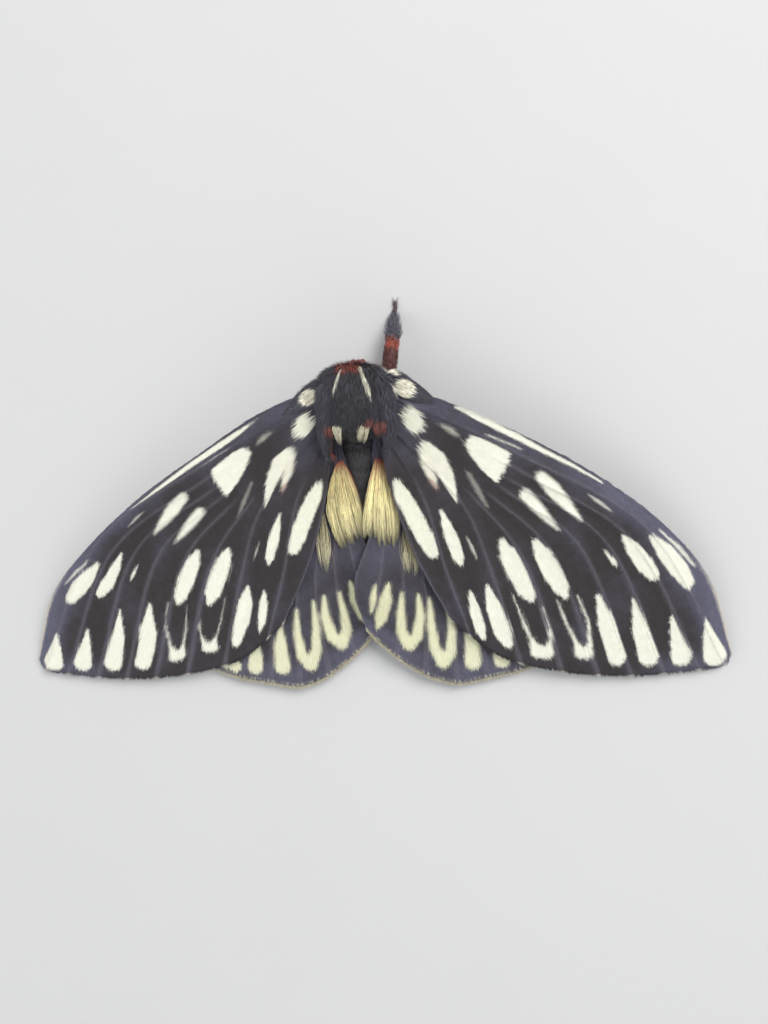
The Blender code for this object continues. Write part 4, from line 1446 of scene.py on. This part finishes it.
@dataclass
class Body:
    """Skin and fur of thorax, head, abdomen and legs.

    Attributes:
        finish: Finish of skin and fur.
        skin_sink: Depth of the skin below the solids, in millimetres.
        voxel: Size of the cells that fuse the skin, in metres.
        claw_length: Length of a claw, in millimetres.
        claw_width: Half width of a claw at its root, in millimetres.
        knee: Share of a leg's length at which it changes from red to grey.
    """

    finish: FurFinish
    skin_sink: float = 0.25
    voxel: float = 0.00017
    claw_length: float = 0.85
    claw_width: float = 0.08
    knee: float = 0.44

    def forms(self) -> list[bmesh.types.BMesh]:
        """Make the closed forms that the skin is fused from.

        Returns:
            Thorax, head, collar and abdomen, then each side's legs, lobes and palp.
        """
        made = [THORAX.solid(48, 32, -self.skin_sink), HEAD.solid(32, 24, -self.skin_sink * 0.5),
                COLLAR.solid(32, 16, -self.skin_sink),
                ABDOMEN.solid(48, 96, -self.skin_sink * 0.6, pinch=self.rings)]
        for side in Side:
            for pair in Pair:
                made.append(leg_form(pair, side).solid(14, 60, side=side, pinch=self.blunt))
            for lobe in (TEGULA, SHOULDER):
                made.append(lobe_form(lobe, side).solid(20, 24, -self.skin_sink, side=side))
            made.append(PALP.solid(12, 12, -0.1, side=side))
        return made

    def build_skin(self) -> bpy.types.Object:
        """Fuse thorax, head, abdomen and legs into one closed skin.

        Returns:
            The skin.
        """
        whole = bmesh.new()
        for form in self.forms():
            part = bpy.data.meshes.new("part")
            bmesh.ops.recalc_face_normals(form, faces=form.faces)
            form.to_mesh(part)
            form.free()
            whole.from_mesh(part)
            bpy.data.meshes.remove(part)
        rough = from_bmesh(whole, "rough_body")
        fuse = rough.modifiers.new("fuse", "REMESH")
        fuse.mode = "VOXEL"
        fuse.voxel_size = self.voxel
        mesh = bpy.data.meshes.new_from_object(rough.evaluated_get(bpy.context.evaluated_depsgraph_get()))
        bpy.data.objects.remove(rough, do_unlink=True)
        bm = bmesh.new()
        bm.from_mesh(mesh)
        bpy.data.meshes.remove(mesh)
        bmesh.ops.smooth_vert(bm, verts=bm.verts, factor=0.5, use_axis_x=True, use_axis_y=True,
                              use_axis_z=True)
        skin = from_bmesh(bm, "body_skin")
        for vert in skin.data.vertices:
            vert.co.z = max(vert.co.z, 0.0)
        points = from_frame(coordinates(skin.data.vertices))
        values = self.looks(points, np.full(len(points), 0.25))
        share, away = self.nearest_leg(points)
        on_leg = ramp(1.3, 1.0, away)
        for key, there in self.leg_looks(share, values["shade"]).items():
            values[key] = values[key] * (1 - on_leg) + there * on_leg
        set_attributes(skin.data, values)
        return skin

    @staticmethod
    def nearest_leg(points: Array) -> tuple[Array, Array]:
        """Share along the nearest leg, and distance to its centre line.

        Args:
            points: Places in the moth's millimetres.

        Returns:
            A share and a distance, in millimetres, for each place.
        """
        steps = np.linspace(0.12, 1.0, 40)
        nearest = np.full(len(points), FAR)
        share = np.zeros(len(points))
        for side in Side:
            for pair in Pair:
                line = from_frame(leg_form(pair, side).centre(steps, side))
                for step, spot in zip(steps, line):
                    away = np.linalg.norm(points - spot, axis=1)
                    share = np.where(away < nearest, step, share)
                    nearest = np.minimum(nearest, away)
        return share, nearest

    def leg_looks(self, share: Array, shade: Array) -> Places:
        """Colours of a leg: brown-red thigh, red knee, slate-grey shin and dark foot.

        Args:
            share: Share of the way from root to foot.
            shade: Light or dark of each place, from 0 to 1.

        Returns:
            Values of the attributes that the finish reads.
        """
        none = np.zeros(len(share))
        shin = ramp(self.knee - 0.03, self.knee + 0.03, share)
        foot = ramp(0.76, 0.82, share)
        at_knee = ramp(0.05, 0.02, np.abs(share - self.knee + 0.03))
        return {"tone": np.clip(1.1 * shin - 0.7 * foot, 0, 1),
                "red": (0.22 + 0.6 * at_knee) * (1 - shin) + 0.12 * foot,
                "pale": none, "warm": none, "shade": shade}

    @staticmethod
    def rings(t: Array) -> Array:
        """Pinch of the abdomen at the joints of its segments."""
        return 1.0 - 0.06 * np.abs(np.cos(t * SEGMENTS * math.pi)) ** 8

    @staticmethod
    def blunt(t: Array) -> Array:
        """Round ends of a leg, and the pinched joints of its foot."""
        foot = ramp(0.78, 0.82, t) * 0.25 * np.abs(np.cos(t * 26 * math.pi)) ** 6
        return np.minimum(1.0, np.sin(t * math.pi) * 14) * (1.0 - foot)

    @staticmethod
    def redness(points: Array) -> Array:
        """Red of the face, the sides of the belly, its rings and the collar, by bounds in millimetres.

        Args:
            points: Places in the moth's millimetres.

        Returns:
            A share for each place.
        """
        x, y, z = points.T
        aside = np.abs(x)
        face = ramp(19.4, 20.2, y) * ramp(8.4, 7.6, z) * ramp(4.0, 3.0, aside)
        side_line = ramp(0.55, 0.35, np.abs(aside - 2.9)) * ramp(11.0, 9.0, y) * ramp(3.4, 4.2, z)
        front, rear = ABDOMEN.path[0][1], ABDOMEN.path[-1][1]
        ring = ramp(0.82, 0.95, np.abs(np.cos((front - y) / (front - rear) * SEGMENTS * math.pi)))
        ring *= ramp(4.6, 3.8, z) * ramp(10, 8, y)
        ragged = y + 0.15 * waves(points[:, :2], 1.6, 31)
        collar = ramp(20.3, 20.7, ragged) * ramp(2.0, 1.5, np.abs(x + 0.35)) * ramp(10.7, 11.6, z)
        return np.maximum.reduce((face * 0.75, side_line * 0.8, ring * 0.5, collar * 0.6))

    def looks(self, points: Array, shade: Array) -> Places:
        """Colours of body and legs at each place, by bounds in millimetres.

        Args:
            points: Places in the moth's millimetres.
            shade: Light or dark of each place, from 0 to 1.

        Returns:
            Values of the attributes that the finish reads.
        """
        x, y, z = points.T
        on_back = ramp(9.0, 10.5, z) * ramp(9.5, 10.5, y)
        bell = ramp(3.7, 2.5, np.hypot(x - 0.3, np.maximum(0.0, 16.0 - y) * 0.85)) * on_back * 0.85
        behind = ramp(13.4, 12.6, y) * ramp(4.2, 3.4, np.abs(x)) * ramp(8.0, 9.5, y)
        belly = ramp(9.8, 9.0, z) * ramp(12.4, 11.8, y)
        dark = np.maximum.reduce((bell, 1.4 * behind, 1.3 * belly))
        tone = np.clip(0.85 - 0.55 * dark + 0.18 * waves(points, 5.0, 21), 0, 1)
        pale = np.zeros(len(points))
        for mark in BACK_MARKS:
            pale = np.maximum(pale, mark.paleness(points[:, :2]) * ramp(9.0, 9.8, z))
        return {"tone": tone, "red": self.redness(points) * (1 - pale), "pale": pale,
                "warm": np.zeros(len(points)), "shade": shade}

    def coat(self, name: str, form: Swept, hair: Hair, rng: np.random.Generator, side: Side = Side.RIGHT,
             source: Optional[tuple] = None, leg: bool = False) -> bpy.types.Object:
        """Cover a swept form with hair that lies from front to rear, or away from a point.

        Args:
            name: Name of the part, to which the piece's name adds the fur.
            form: The form below the skin.
            hair: Number and shape of the tufts.
            rng: Source of the random draws.
            side: Side that the form is on.
            source: Point that the hair lies away from, in millimetres.
            leg: Whether the form is a leg, whose hair is longer on the shin and short on the foot.

        Returns:
            The coat piece.
        """
        def skin(a: Array, b: Array) -> Array:
            """Points of the skin over the form."""
            return form.point(a, b, 0.0 if leg else -self.skin_sink, side)

        count = hair.count
        t, turn = scatter(count, skin, rng, (0.14 if leg else 0.02, 0.0), (0.97, 1.0))
        root, lie, normal = frame_at(skin, t, turn)
        outward = unit(root - form.centre(t, side))
        normal *= np.sign(np.sum(normal * outward, axis=1))[:, None]
        if source:
            flow = root - to_frame(np.array(source), side)
            lie = unit(flow - normal * np.sum(flow * normal, axis=1)[:, None])
        lie = strayed(lie, normal, 0.11, rng)
        reach = rng.uniform(*hair.length, count)[:, None] * MM
        rise = hair.stand * rng.uniform(0.6, 1.3, count)[:, None]
        if leg:
            reach *= (0.55 + 0.65 * ramp(0.36, 0.5, t) - 0.8 * ramp(0.74, 0.86, t))[:, None]
            rise *= (1 + 0.7 * ramp(0.43, 0.48, t) * ramp(0.82, 0.66, t))[:, None]
        bend = root + lie * reach * 0.45 + normal * reach * rise
        tip = root + lie * reach + normal * reach * rise * 0.8
        half = hair.width * rng.uniform(0.7, 1.3, count) * MM
        places = from_frame(root + lie * reach * 0.5) + normal * 0.3
        shade = rng.uniform(0, 1, count)
        values = self.leg_looks(t, shade) if leg else self.looks(places, shade)
        unwrap = np.column_stack((t, turn % 1.0))
        return HAIR_TUFT.sow(name + "_fur", root, bend, tip, normal, half, half * 0.6, unwrap, values)

    def build_claws(self) -> bpy.types.Object:
        """Make the pair of curved claws at the end of each foot.

        Returns:
            All claws as one joined mesh.
        """
        claws = []
        for side in Side:
            for pair in Pair:
                path = np.array(leg_form(pair, side).path)
                ahead = unit(path[-1] - path[-2])
                across = np.cross(ahead, UP)
                for sign in (-1, 1):
                    start = path[-1] - ahead * 0.35 + (0.0, 0.0, 0.08)
                    end = start + (ahead + across * sign * 0.6) * self.claw_length
                    end[2] = 0.06
                    arch = (start + end) / 2 + (0.0, 0.0, 0.25)
                    claws.append(to_frame(np.array((start, arch, end)), side))
        count = len(claws)
        starts, arches, ends = np.array(claws).transpose(1, 0, 2)
        half = np.full(count, self.claw_width * MM)
        spots = np.column_stack((np.linspace(0.1, 0.9, count), np.full(count, 0.5)))
        return CLAW_TUFT.sow("claws", starts, arches, ends, upright(count), half, half, spots, {})

    def build(self, rng: np.random.Generator) -> None:
        """Make and dress skin, fur and claws.

        Args:
            rng: Source of the random draws.
        """
        material = self.finish.build()
        solids = ["thorax", "abdomen", "head"]
        solids += [pair.leg(side) for side in Side for pair in Pair]
        dress(self.build_skin(), material, solids)
        middle = (("thorax", THORAX, THORAX_HAIR, NECK, Slot.FUR),
                  ("collar", COLLAR, COLLAR_HAIR, NECK, Slot.RED),
                  ("abdomen", ABDOMEN, ABDOMEN_HAIR, None, Slot.ABDOMEN),
                  ("face", HEAD, FACE_HAIR, CROWN, Slot.RED))
        for name, form, hair, source, slot in middle:
            dress(self.coat(name, form, hair, rng, source=source), material)
        for side in Side:
            word = side.word
            pieces = (("palp_" + word, PALP, PALP_HAIR, Slot.RED),
                      ("tegula_" + word, lobe_form(TEGULA, side), TEGULA_HAIR, Slot.FUR),
                      ("shoulder_" + word, lobe_form(SHOULDER, side), SHOULDER_HAIR, Slot.FUR))
            for name, form, hair, slot in pieces:
                dress(self.coat(name, form, hair, rng, side), material)
            for pair in Pair:
                coat = self.coat(pair.leg(side), leg_form(pair, side), LEG_HAIR, rng, side, leg=True)
                dress(coat, material)
        horn = HornFinish("claw_horn", (0.02, 0.012, 0.008), (0.06, 0.03, 0.02), 0.35)
        dress(self.build_claws(), horn.build())


# Sheaves of long hair

# How far the tips are drawn to the middle of their lock, and the least share of the sheaf's length for a hair
GATHERING = 0.65
SHORTEST = 0.25


@dataclass(frozen=True)
class Fan:
    """Sheaf of long hair that spreads from a line of roots over a line of middles to a line of tips.

    Attributes:
        name: Name of the piece.
        roots: Points of the line of roots: X, Y and height over the ground, in millimetres.
        middles: Points of the line of middles.
        tips: Points of the line of tips.
        strands: Number of hairs.
        slot: The record's slot for its hair; not used.
        locks: Number of locks that the tips gather into.
        half_width: Half width of a hair, in millimetres.
        arch: Height of the uppermost hairs over the lowest, in millimetres.
        stray: How far single hairs stray, in millimetres.
        early: Share of the length over which the hairs are rooted.
        red: Redness at root and tip.
        red_reach: Share of the length over which the root's redness turns into the tip's.
        warm: Yellowness at root and tip.
        pale: Paleness at root and tip.
    """

    name: str
    roots: tuple
    middles: tuple
    tips: tuple
    strands: int
    slot: Slot = Slot.FUR
    locks: int = 1
    half_width: float = 0.07
    arch: float = 0.9
    stray: float = 0.12
    early: float = 0.0
    red: tuple[float, float] = (0.0, 0.0)
    red_reach: float = 0.16
    warm: tuple[float, float] = (0.0, 0.0)
    pale: tuple[float, float] = (1.0, 1.0)

    def place(self, share: Array, along_hair: Array) -> Array:
        """Points of the sheaf.

        Args:
            share: Share of the way across it.
            along_hair: Share of the way from root to tip.

        Returns:
            X, Y and height of each point, in millimetres.
        """
        lines = []
        for line in (self.roots, self.middles, self.tips):
            stops = np.linspace(0, 1, len(line))
            lines.append(np.column_stack([np.interp(share, stops, values) for values in zip(*line)]))
        s = along_hair[:, None]
        return lines[0] * (1 - s) * (1 - 2 * s) + lines[1] * 4 * s * (1 - s) + lines[2] * s * (2 * s - 1)

    @staticmethod
    def grade(pair: tuple[float, float], share: Array) -> Array:
        """Value that runs from the first of a pair to the second."""
        return pair[0] + (pair[1] - pair[0]) * share

    def build(self, rng: np.random.Generator, side: Side, finish: bpy.types.Material,
              ground: Callable[[Array, Array], Array]) -> None:
        """Make and dress the sheaf.

        Args:
            rng: Source of the random draws.
            side: Side that it is on.
            finish: Material of the hair.
            ground: Height under a plan place, in millimetres.
        """
        count = self.strands
        share = rng.uniform(0, 1, count)
        lock = np.minimum((share * self.locks).astype(int), self.locks - 1)
        start = self.early * rng.uniform(0, 1, count) ** 1.4
        end = 1 - 0.3 * rng.uniform(0, 1, count) ** 2 - 0.12 * rng.uniform(0, 1, self.locks)[lock]
        last = np.maximum(end, start + SHORTEST)
        gathered = share + ((lock + 0.5) / self.locks - share) * GATHERING
        wave = rng.normal(0, self.stray, (self.locks, 2))[lock] + rng.normal(0, self.stray, (count, 2))
        height = rng.uniform(0, 1, count) ** 1.5
        points = []
        for across, s, sway in ((share, start, 0.5), ((share + gathered) / 2, (start + end) / 2, 1.6),
                                (gathered, last, 0.7)):
            spot = self.place(across, s)
            spot[:, :2] += wave * sway
            lift = self.arch * height * np.sin(np.clip(0.12 + 0.8 * s, 0, 1) * math.pi)
            spot[:, 2] += ground(spot[:, 0], spot[:, 1]) + lift
            points.append(to_frame(spot, side))
        root, middle, tip = points
        bend = middle * 2 - (root + tip) / 2
        half = self.half_width * rng.uniform(0.6, 1.3, count) * MM
        # Dark strands, and painted shade: dark strands are more common low in the sheaf, and the shade value
        # rises with each hair's height, so the lower hairs are painted darker than the upper ones
        dark_strands_and_shade = (rng.uniform(0, 1, count) < 0.3 - 0.25 * height)[:, None] * 0.6
        ends = np.column_stack((start, last))
        red = self.grade(self.red, np.clip(ends / self.red_reach, 0, 1))
        values = {"tone": np.zeros(count), "red": red,
                  "pale": np.clip(self.grade(self.pale, ends) - dark_strands_and_shade, 0, 1) * (1 - red),
                  "warm": self.grade(self.warm, ends),
                  "shade": 0.2 + 0.5 * height + 0.3 * rng.uniform(0, 1, count)}
        unwrap = np.column_stack((share, start))
        made = LONG_HAIR_TUFT.sow(f"{self.name}_{side.word}", root, bend, tip, upright(count), half,
                                  half * 0.7, unwrap, values)
        dress(made, finish)


# Hair that the sheaves of one kind share
BRUSH_HAIR = {"strands": 2000, "locks": 11, "early": 0.5, "half_width": 0.05, "stray": 0.13,
              "red": (1.0, 0.0), "warm": (1.0, 0.65), "pale": (1.0, 0.85)}
STREAK_HAIR = {"locks": 4, "early": 0.6, "half_width": 0.035, "arch": 0.3, "stray": 0.2,
               "warm": (0.9, 0.4), "pale": (0.2, 0.95)}
CREAM_HAIR = {"strands": 280, "arch": 0.4, "pale": (0.2, 0.95)}
RED_HAIR = {"slot": Slot.RED, "half_width": 0.045, "arch": 0.2, "pale": (0.0, 0.0)}
BRUSHES = {
    Side.LEFT: Fan("brush", ((2.2, 8.4, -0.2), (3.1, 8.0, -0.2)),
                   ((0.4, 1.9, 0.0), (2.6, 1.6, 0.1), (5.2, 1.4, 0.1)),
                   ((-0.5, -3.1, 0.0), (0.6, -4.2, 0.0), (1.7, -5.6, 0.0), (3.0, -5.9, 0.0)), **BRUSH_HAIR),
    Side.RIGHT: Fan("brush", ((2.6, 8.6, -0.2), (3.6, 8.2, -0.2)),
                    ((1.1, 2.0, 0.0), (2.9, 2.0, 0.1), (5.5, 1.4, 0.1)),
                    ((0.1, -3.4, 0.0), (1.6, -4.2, 0.0), (2.9, -5.9, 0.0), (4.4, -6.0, 0.0),
                     (5.3, -4.8, 0.0)), **BRUSH_HAIR),
}
STREAKS = {
    Side.LEFT: Fan("streak", ((5.6, 0.6, 0.7), (6.2, 0.6, 0.8)), ((5.2, -3.4, 0.9), (6.8, -3.2, 1.1)),
                   ((5.6, -8.8, 0.4), (6.2, -9.3, 0.5)), 130, **STREAK_HAIR),
    Side.RIGHT: Fan("streak", ((5.8, -1.4, 0.2), (6.4, -1.4, 0.3)), ((6.1, -5.0, 0.2), (7.3, -5.6, 0.3)),
                    ((6.6, -9.3, 0.1), (7.2, -9.7, 0.1)), 120, **STREAK_HAIR),
}
BACK_TUFTS = {
    Side.LEFT: (
        Fan("cream_tuft", ((1.5, 13.2, 13.1), (2.3, 13.2, 13.0)), ((1.5, 12.1, 13.3), (2.3, 12.1, 13.1)),
            ((1.6, 10.3, 11.5), (2.2, 10.3, 11.4)), warm=(0.4, 0.15), stray=0.13, **CREAM_HAIR),
        Fan("red_tuft", ((3.0, 13.2, 12.5), (3.5, 13.2, 12.6)), ((2.9, 12.3, 13.0), (3.5, 12.3, 13.1)),
            ((3.0, 10.9, 12.3), (3.5, 10.7, 12.4)), 110, locks=3, red=(0.12, 0.55), red_reach=0.6,
            stray=0.14, **RED_HAIR),
    ),
    Side.RIGHT: (
        Fan("cream_tuft", ((1.4, 13.2, 13.4), (2.1, 13.2, 13.2)), ((1.1, 12.2, 13.3), (2.0, 12.2, 13.0)),
            ((0.6, 10.7, 11.4), (1.6, 10.3, 11.1)), locks=3, warm=(0.5, 0.25), stray=0.15, **CREAM_HAIR),
        Fan("inner_red_tuft", ((1.4, 14.1, 13.3), (2.3, 14.1, 13.2)), ((1.4, 13.3, 13.8), (2.4, 13.3, 13.6)),
            ((1.5, 12.5, 13.4), (2.5, 12.3, 13.2)), 90, locks=3, red=(0.1, 0.5), red_reach=0.8,
            stray=0.16, **RED_HAIR),
        Fan("red_tuft", ((3.3, 13.6, 12.6), (4.1, 13.6, 12.7)), ((3.3, 12.7, 13.0), (4.2, 12.7, 13.1)),
            ((3.3, 11.6, 12.4), (4.2, 11.2, 12.3)), 120, locks=4, red=(0.12, 0.55), red_reach=0.6,
            stray=0.14, **RED_HAIR),
    ),
}


# Eyes and feelers

EYE_CENTRE = (2.0, 21.0, 5.3)
EYE_RADIUS = 1.15
EYE_SHAPE = (0.92, 1.0, 1.06)
ANTENNA_PATH = ((1.1, 20.9, 6.6), (2.8, 21.6, 6.9), (5.6, 20.2, 6.5), (9.2, 17.0, 6.2), (12.6, 13.4, 6.2))
ANTENNA_TAPER = (1.2, 1.3, 1.0, 0.7, 0.25)


@dataclass
class Eye:
    """One compound eye.

    Attributes:
        side: Side of the head.
        finish: Finish of the eye.
    """

    side: Side
    finish: HornFinish

    def build(self) -> None:
        """Make and dress the eye."""
        bm = bmesh.new()
        bmesh.ops.create_uvsphere(bm, u_segments=40, v_segments=28, radius=EYE_RADIUS * MM)
        bmesh.ops.scale(bm, verts=bm.verts, vec=EYE_SHAPE)
        bmesh.ops.translate(bm, verts=bm.verts, vec=to_frame(np.array(EYE_CENTRE), self.side))
        name = f"eye_{self.side.word}"
        dress(from_bmesh(bm, name + "_facets"), self.finish.build(), (name,))


@dataclass
class Antenna:
    """One feeler: a jointed shaft with short side teeth.

    Attributes:
        side: Side of the head.
        finish: Finish of the feeler.
        joints: Number of joints.
        shaft: Radius of the shaft, in millimetres.
        tooth: Length of the longest side tooth, in millimetres.
        tooth_width: Half width of a tooth at its root, in millimetres.
    """

    side: Side
    finish: HornFinish
    joints: int = 34
    shaft: float = 0.17
    tooth: float = 0.42
    tooth_width: float = 0.05

    def form(self) -> Swept:
        """Shaft of the feeler."""
        radii = tuple(self.shaft * factor for factor in ANTENNA_TAPER)
        return Swept(ANTENNA_PATH, radii, radii)

    def beads(self, t: Array) -> Array:
        """Round ends of the shaft, and the pinches between its joints."""
        pinch = 0.22 * np.abs(np.cos(t * self.joints * math.pi)) ** 4
        return np.minimum(1.0, np.sin(t * math.pi) * 8) * (1.0 - pinch)

    def build_teeth(self) -> bpy.types.Object:
        """Make the pair of side teeth of each joint.

        Returns:
            All teeth as one joined mesh.
        """
        form = self.form()
        t = np.repeat(np.linspace(0.08, 0.93, self.joints), 2)
        turn = np.tile((0.02, 0.48), self.joints)
        root = form.point(t, turn, -0.05, self.side)
        out = unit(root - form.centre(t, self.side))
        ahead = form.centre(t + SPINE_STEP, self.side) - form.centre(t - SPINE_STEP, self.side)
        reach = (self.tooth * ramp(1.0, 0.5, t) + 0.1) * MM
        tip = root + (out * 0.85 + unit(ahead) * 0.5) * reach[:, None]
        half = np.full(len(t), self.tooth_width * MM)
        return TOOTH_TUFT.sow(f"antenna_{self.side.word}_teeth", root, (root + tip) / 2, tip, upright(len(t)),
                              half, half, np.column_stack((t, turn)), {})

    def build(self) -> None:
        """Make and dress the feeler."""
        name = f"antenna_{self.side.word}"
        material = self.finish.build()
        shaft = self.form().solid(10, self.joints * 3, side=self.side, pinch=self.beads)
        dress(from_bmesh(shaft, name + "_shaft"), material, (name,))
        dress(self.build_teeth(), material)


# Surroundings


@dataclass(frozen=True)
class Light:
    """Soft square light that looks at the moth.

    Attributes:
        name: Name of the light.
        place: Its place, in metres.
        size: Side of its square, in metres.
        power: Its power, in watts.
    """

    name: str
    place: tuple[float, float, float]
    size: float
    power: float

    def build(self) -> None:
        """Add the light."""
        light = bpy.data.lights.new(self.name, "AREA")
        light.size = self.size
        light.energy = self.power
        lamp = add_object(self.name, light)
        lamp.location = self.place
        lamp.rotation_euler = Vector(self.place).to_track_quat("Z", "Y").to_euler()


LIGHTS = (
    Light("key", (0.32, 0.36, 0.55), 0.4, 6.4),
    Light("fill", (-0.6, -0.1, 0.5), 0.6, 1.8),
    Light("rear", (0.1, -0.8, 0.5), 0.6, 1.8),
)


@dataclass
class Studio:
    """Pale floor, soft light and the camera at the photograph's angle.

    Attributes:
        eye: Place of the camera, in the frame's millimetres.
        look: Direction that it looks in.
        up: Direction of the picture's top.
        lens: Focal length for a 36 mm long side.
        floor_size: Side of the floor, in metres.
        sky: Colour of the light from all round.
        sky_strength: Strength of that light.
    """

    eye: tuple[float, float, float] = (14.849, 8.430, 122.650)
    look: tuple[float, float, float] = (-0.09841, -0.08889, -0.99117)
    up: tuple[float, float, float] = (0.02630, 0.99542, -0.09189)
    lens: float = 28.125
    floor_size: float = 3.0
    sky: Colour = (0.93, 0.95, 1.0)
    sky_strength: float = 0.75

    def build_floor(self) -> None:
        """Make the floor."""
        bm = bmesh.new()
        bmesh.ops.create_grid(bm, x_segments=1, y_segments=1, size=self.floor_size / 2)
        floor = from_bmesh(bm, "floor")
        floor.data.materials.append(FloorFinish().build())

    def build_camera(self) -> None:
        """Make the camera and set it as the scene's."""
        camera = add_object("camera", bpy.data.cameras.new("camera"))
        back = -Vector(self.look).normalized()
        side = Vector(self.up).cross(back).normalized()
        turn = Matrix((side, back.cross(side), back)).transposed().to_4x4()
        camera.matrix_world = Matrix.Translation(Vector(self.eye) * MM) @ turn
        camera.data.lens = self.lens
        camera.data.sensor_width = 36.0
        camera.data.clip_start = 0.005
        camera.data.clip_end = 10.0
        bpy.context.scene.camera = camera

    def build_sky(self) -> None:
        """Make the light from all round."""
        world = bpy.data.worlds.new("surroundings")
        bpy.context.scene.world = world
        world.use_nodes = True
        sockets = world.node_tree.nodes["Background"].inputs
        sockets["Color"].default_value = (*self.sky, 1.0)
        sockets["Strength"].default_value = self.sky_strength

    def build(self) -> None:
        """Make floor, camera, lights and sky, with plain display of colours."""
        bpy.context.scene.view_settings.view_transform = "Standard"
        self.build_floor()
        self.build_camera()
        for light in LIGHTS:
            light.build()
        self.build_sky()


def build_side(side: Side, hair: bpy.types.Material, rng: np.random.Generator) -> None:
    """Build the wings, sheaves of hair, eye and feeler of one side in order.

    Args:
        side: The side.
        hair: Material of the long hair.
        rng: Source of the random draws.
    """
    word = side.word
    left = side is Side.LEFT
    fore = Wing("forewing_" + word, side, (FORE_EDGES[side], *FORE_LINES), FORE_MARKS, fore_height,
                ScaleFinish("fore_scales_" + word), roll=COSTA_ROLL, nudges=LEFT_NUDGES if left else (),
                front_mark=FRONT_MARKS[side], swell=LEFT_SWELL if left else 0.0)
    fore.build(rng)
    hind = Wing("hindwing_" + word, side, HIND_LINES, HIND_MARKS, left_hind_height if left else hind_height,
                ScaleFinish("hind_scales_" + word), swing=HIND_SWING * side.value, hind=True, stations=120,
                rows=8, scales=30000, scale_pieces=1, under_scales=7000)
    hind.build(rng)
    BRUSHES[side].build(rng, side, hair, hind.height)
    STREAKS[side].build(rng, side, hair, hind.height)
    for tuft in BACK_TUFTS[side]:
        tuft.build(rng, side, hair, lambda x, y: np.zeros(len(x)))
    Eye(side, HornFinish("eye_" + word, (0.006, 0.004, 0.003), (0.02, 0.010, 0.007), 0.28, 9000.0)).build()
    Antenna(side, HornFinish("antenna_" + word, (0.05, 0.024, 0.015), (0.12, 0.06, 0.03), 0.55)).build()


def build_moth() -> None:
    """Build the body, then each side."""
    rng = np.random.default_rng(SEED)
    Body(FurFinish("body_fur")).build(rng)
    hair = FurFinish("long_hair", roughness=0.5).build()
    for side in Side:
        build_side(side, hair, rng)


def main() -> None:
    """Build the moth round the frame, then the studio."""
    logging.basicConfig(level=logging.INFO, format="%(name)s %(message)s")
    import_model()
    build_moth()
    Studio().build()
    bpy.context.view_layer.update()


if __name__ == "__main__":
    main()
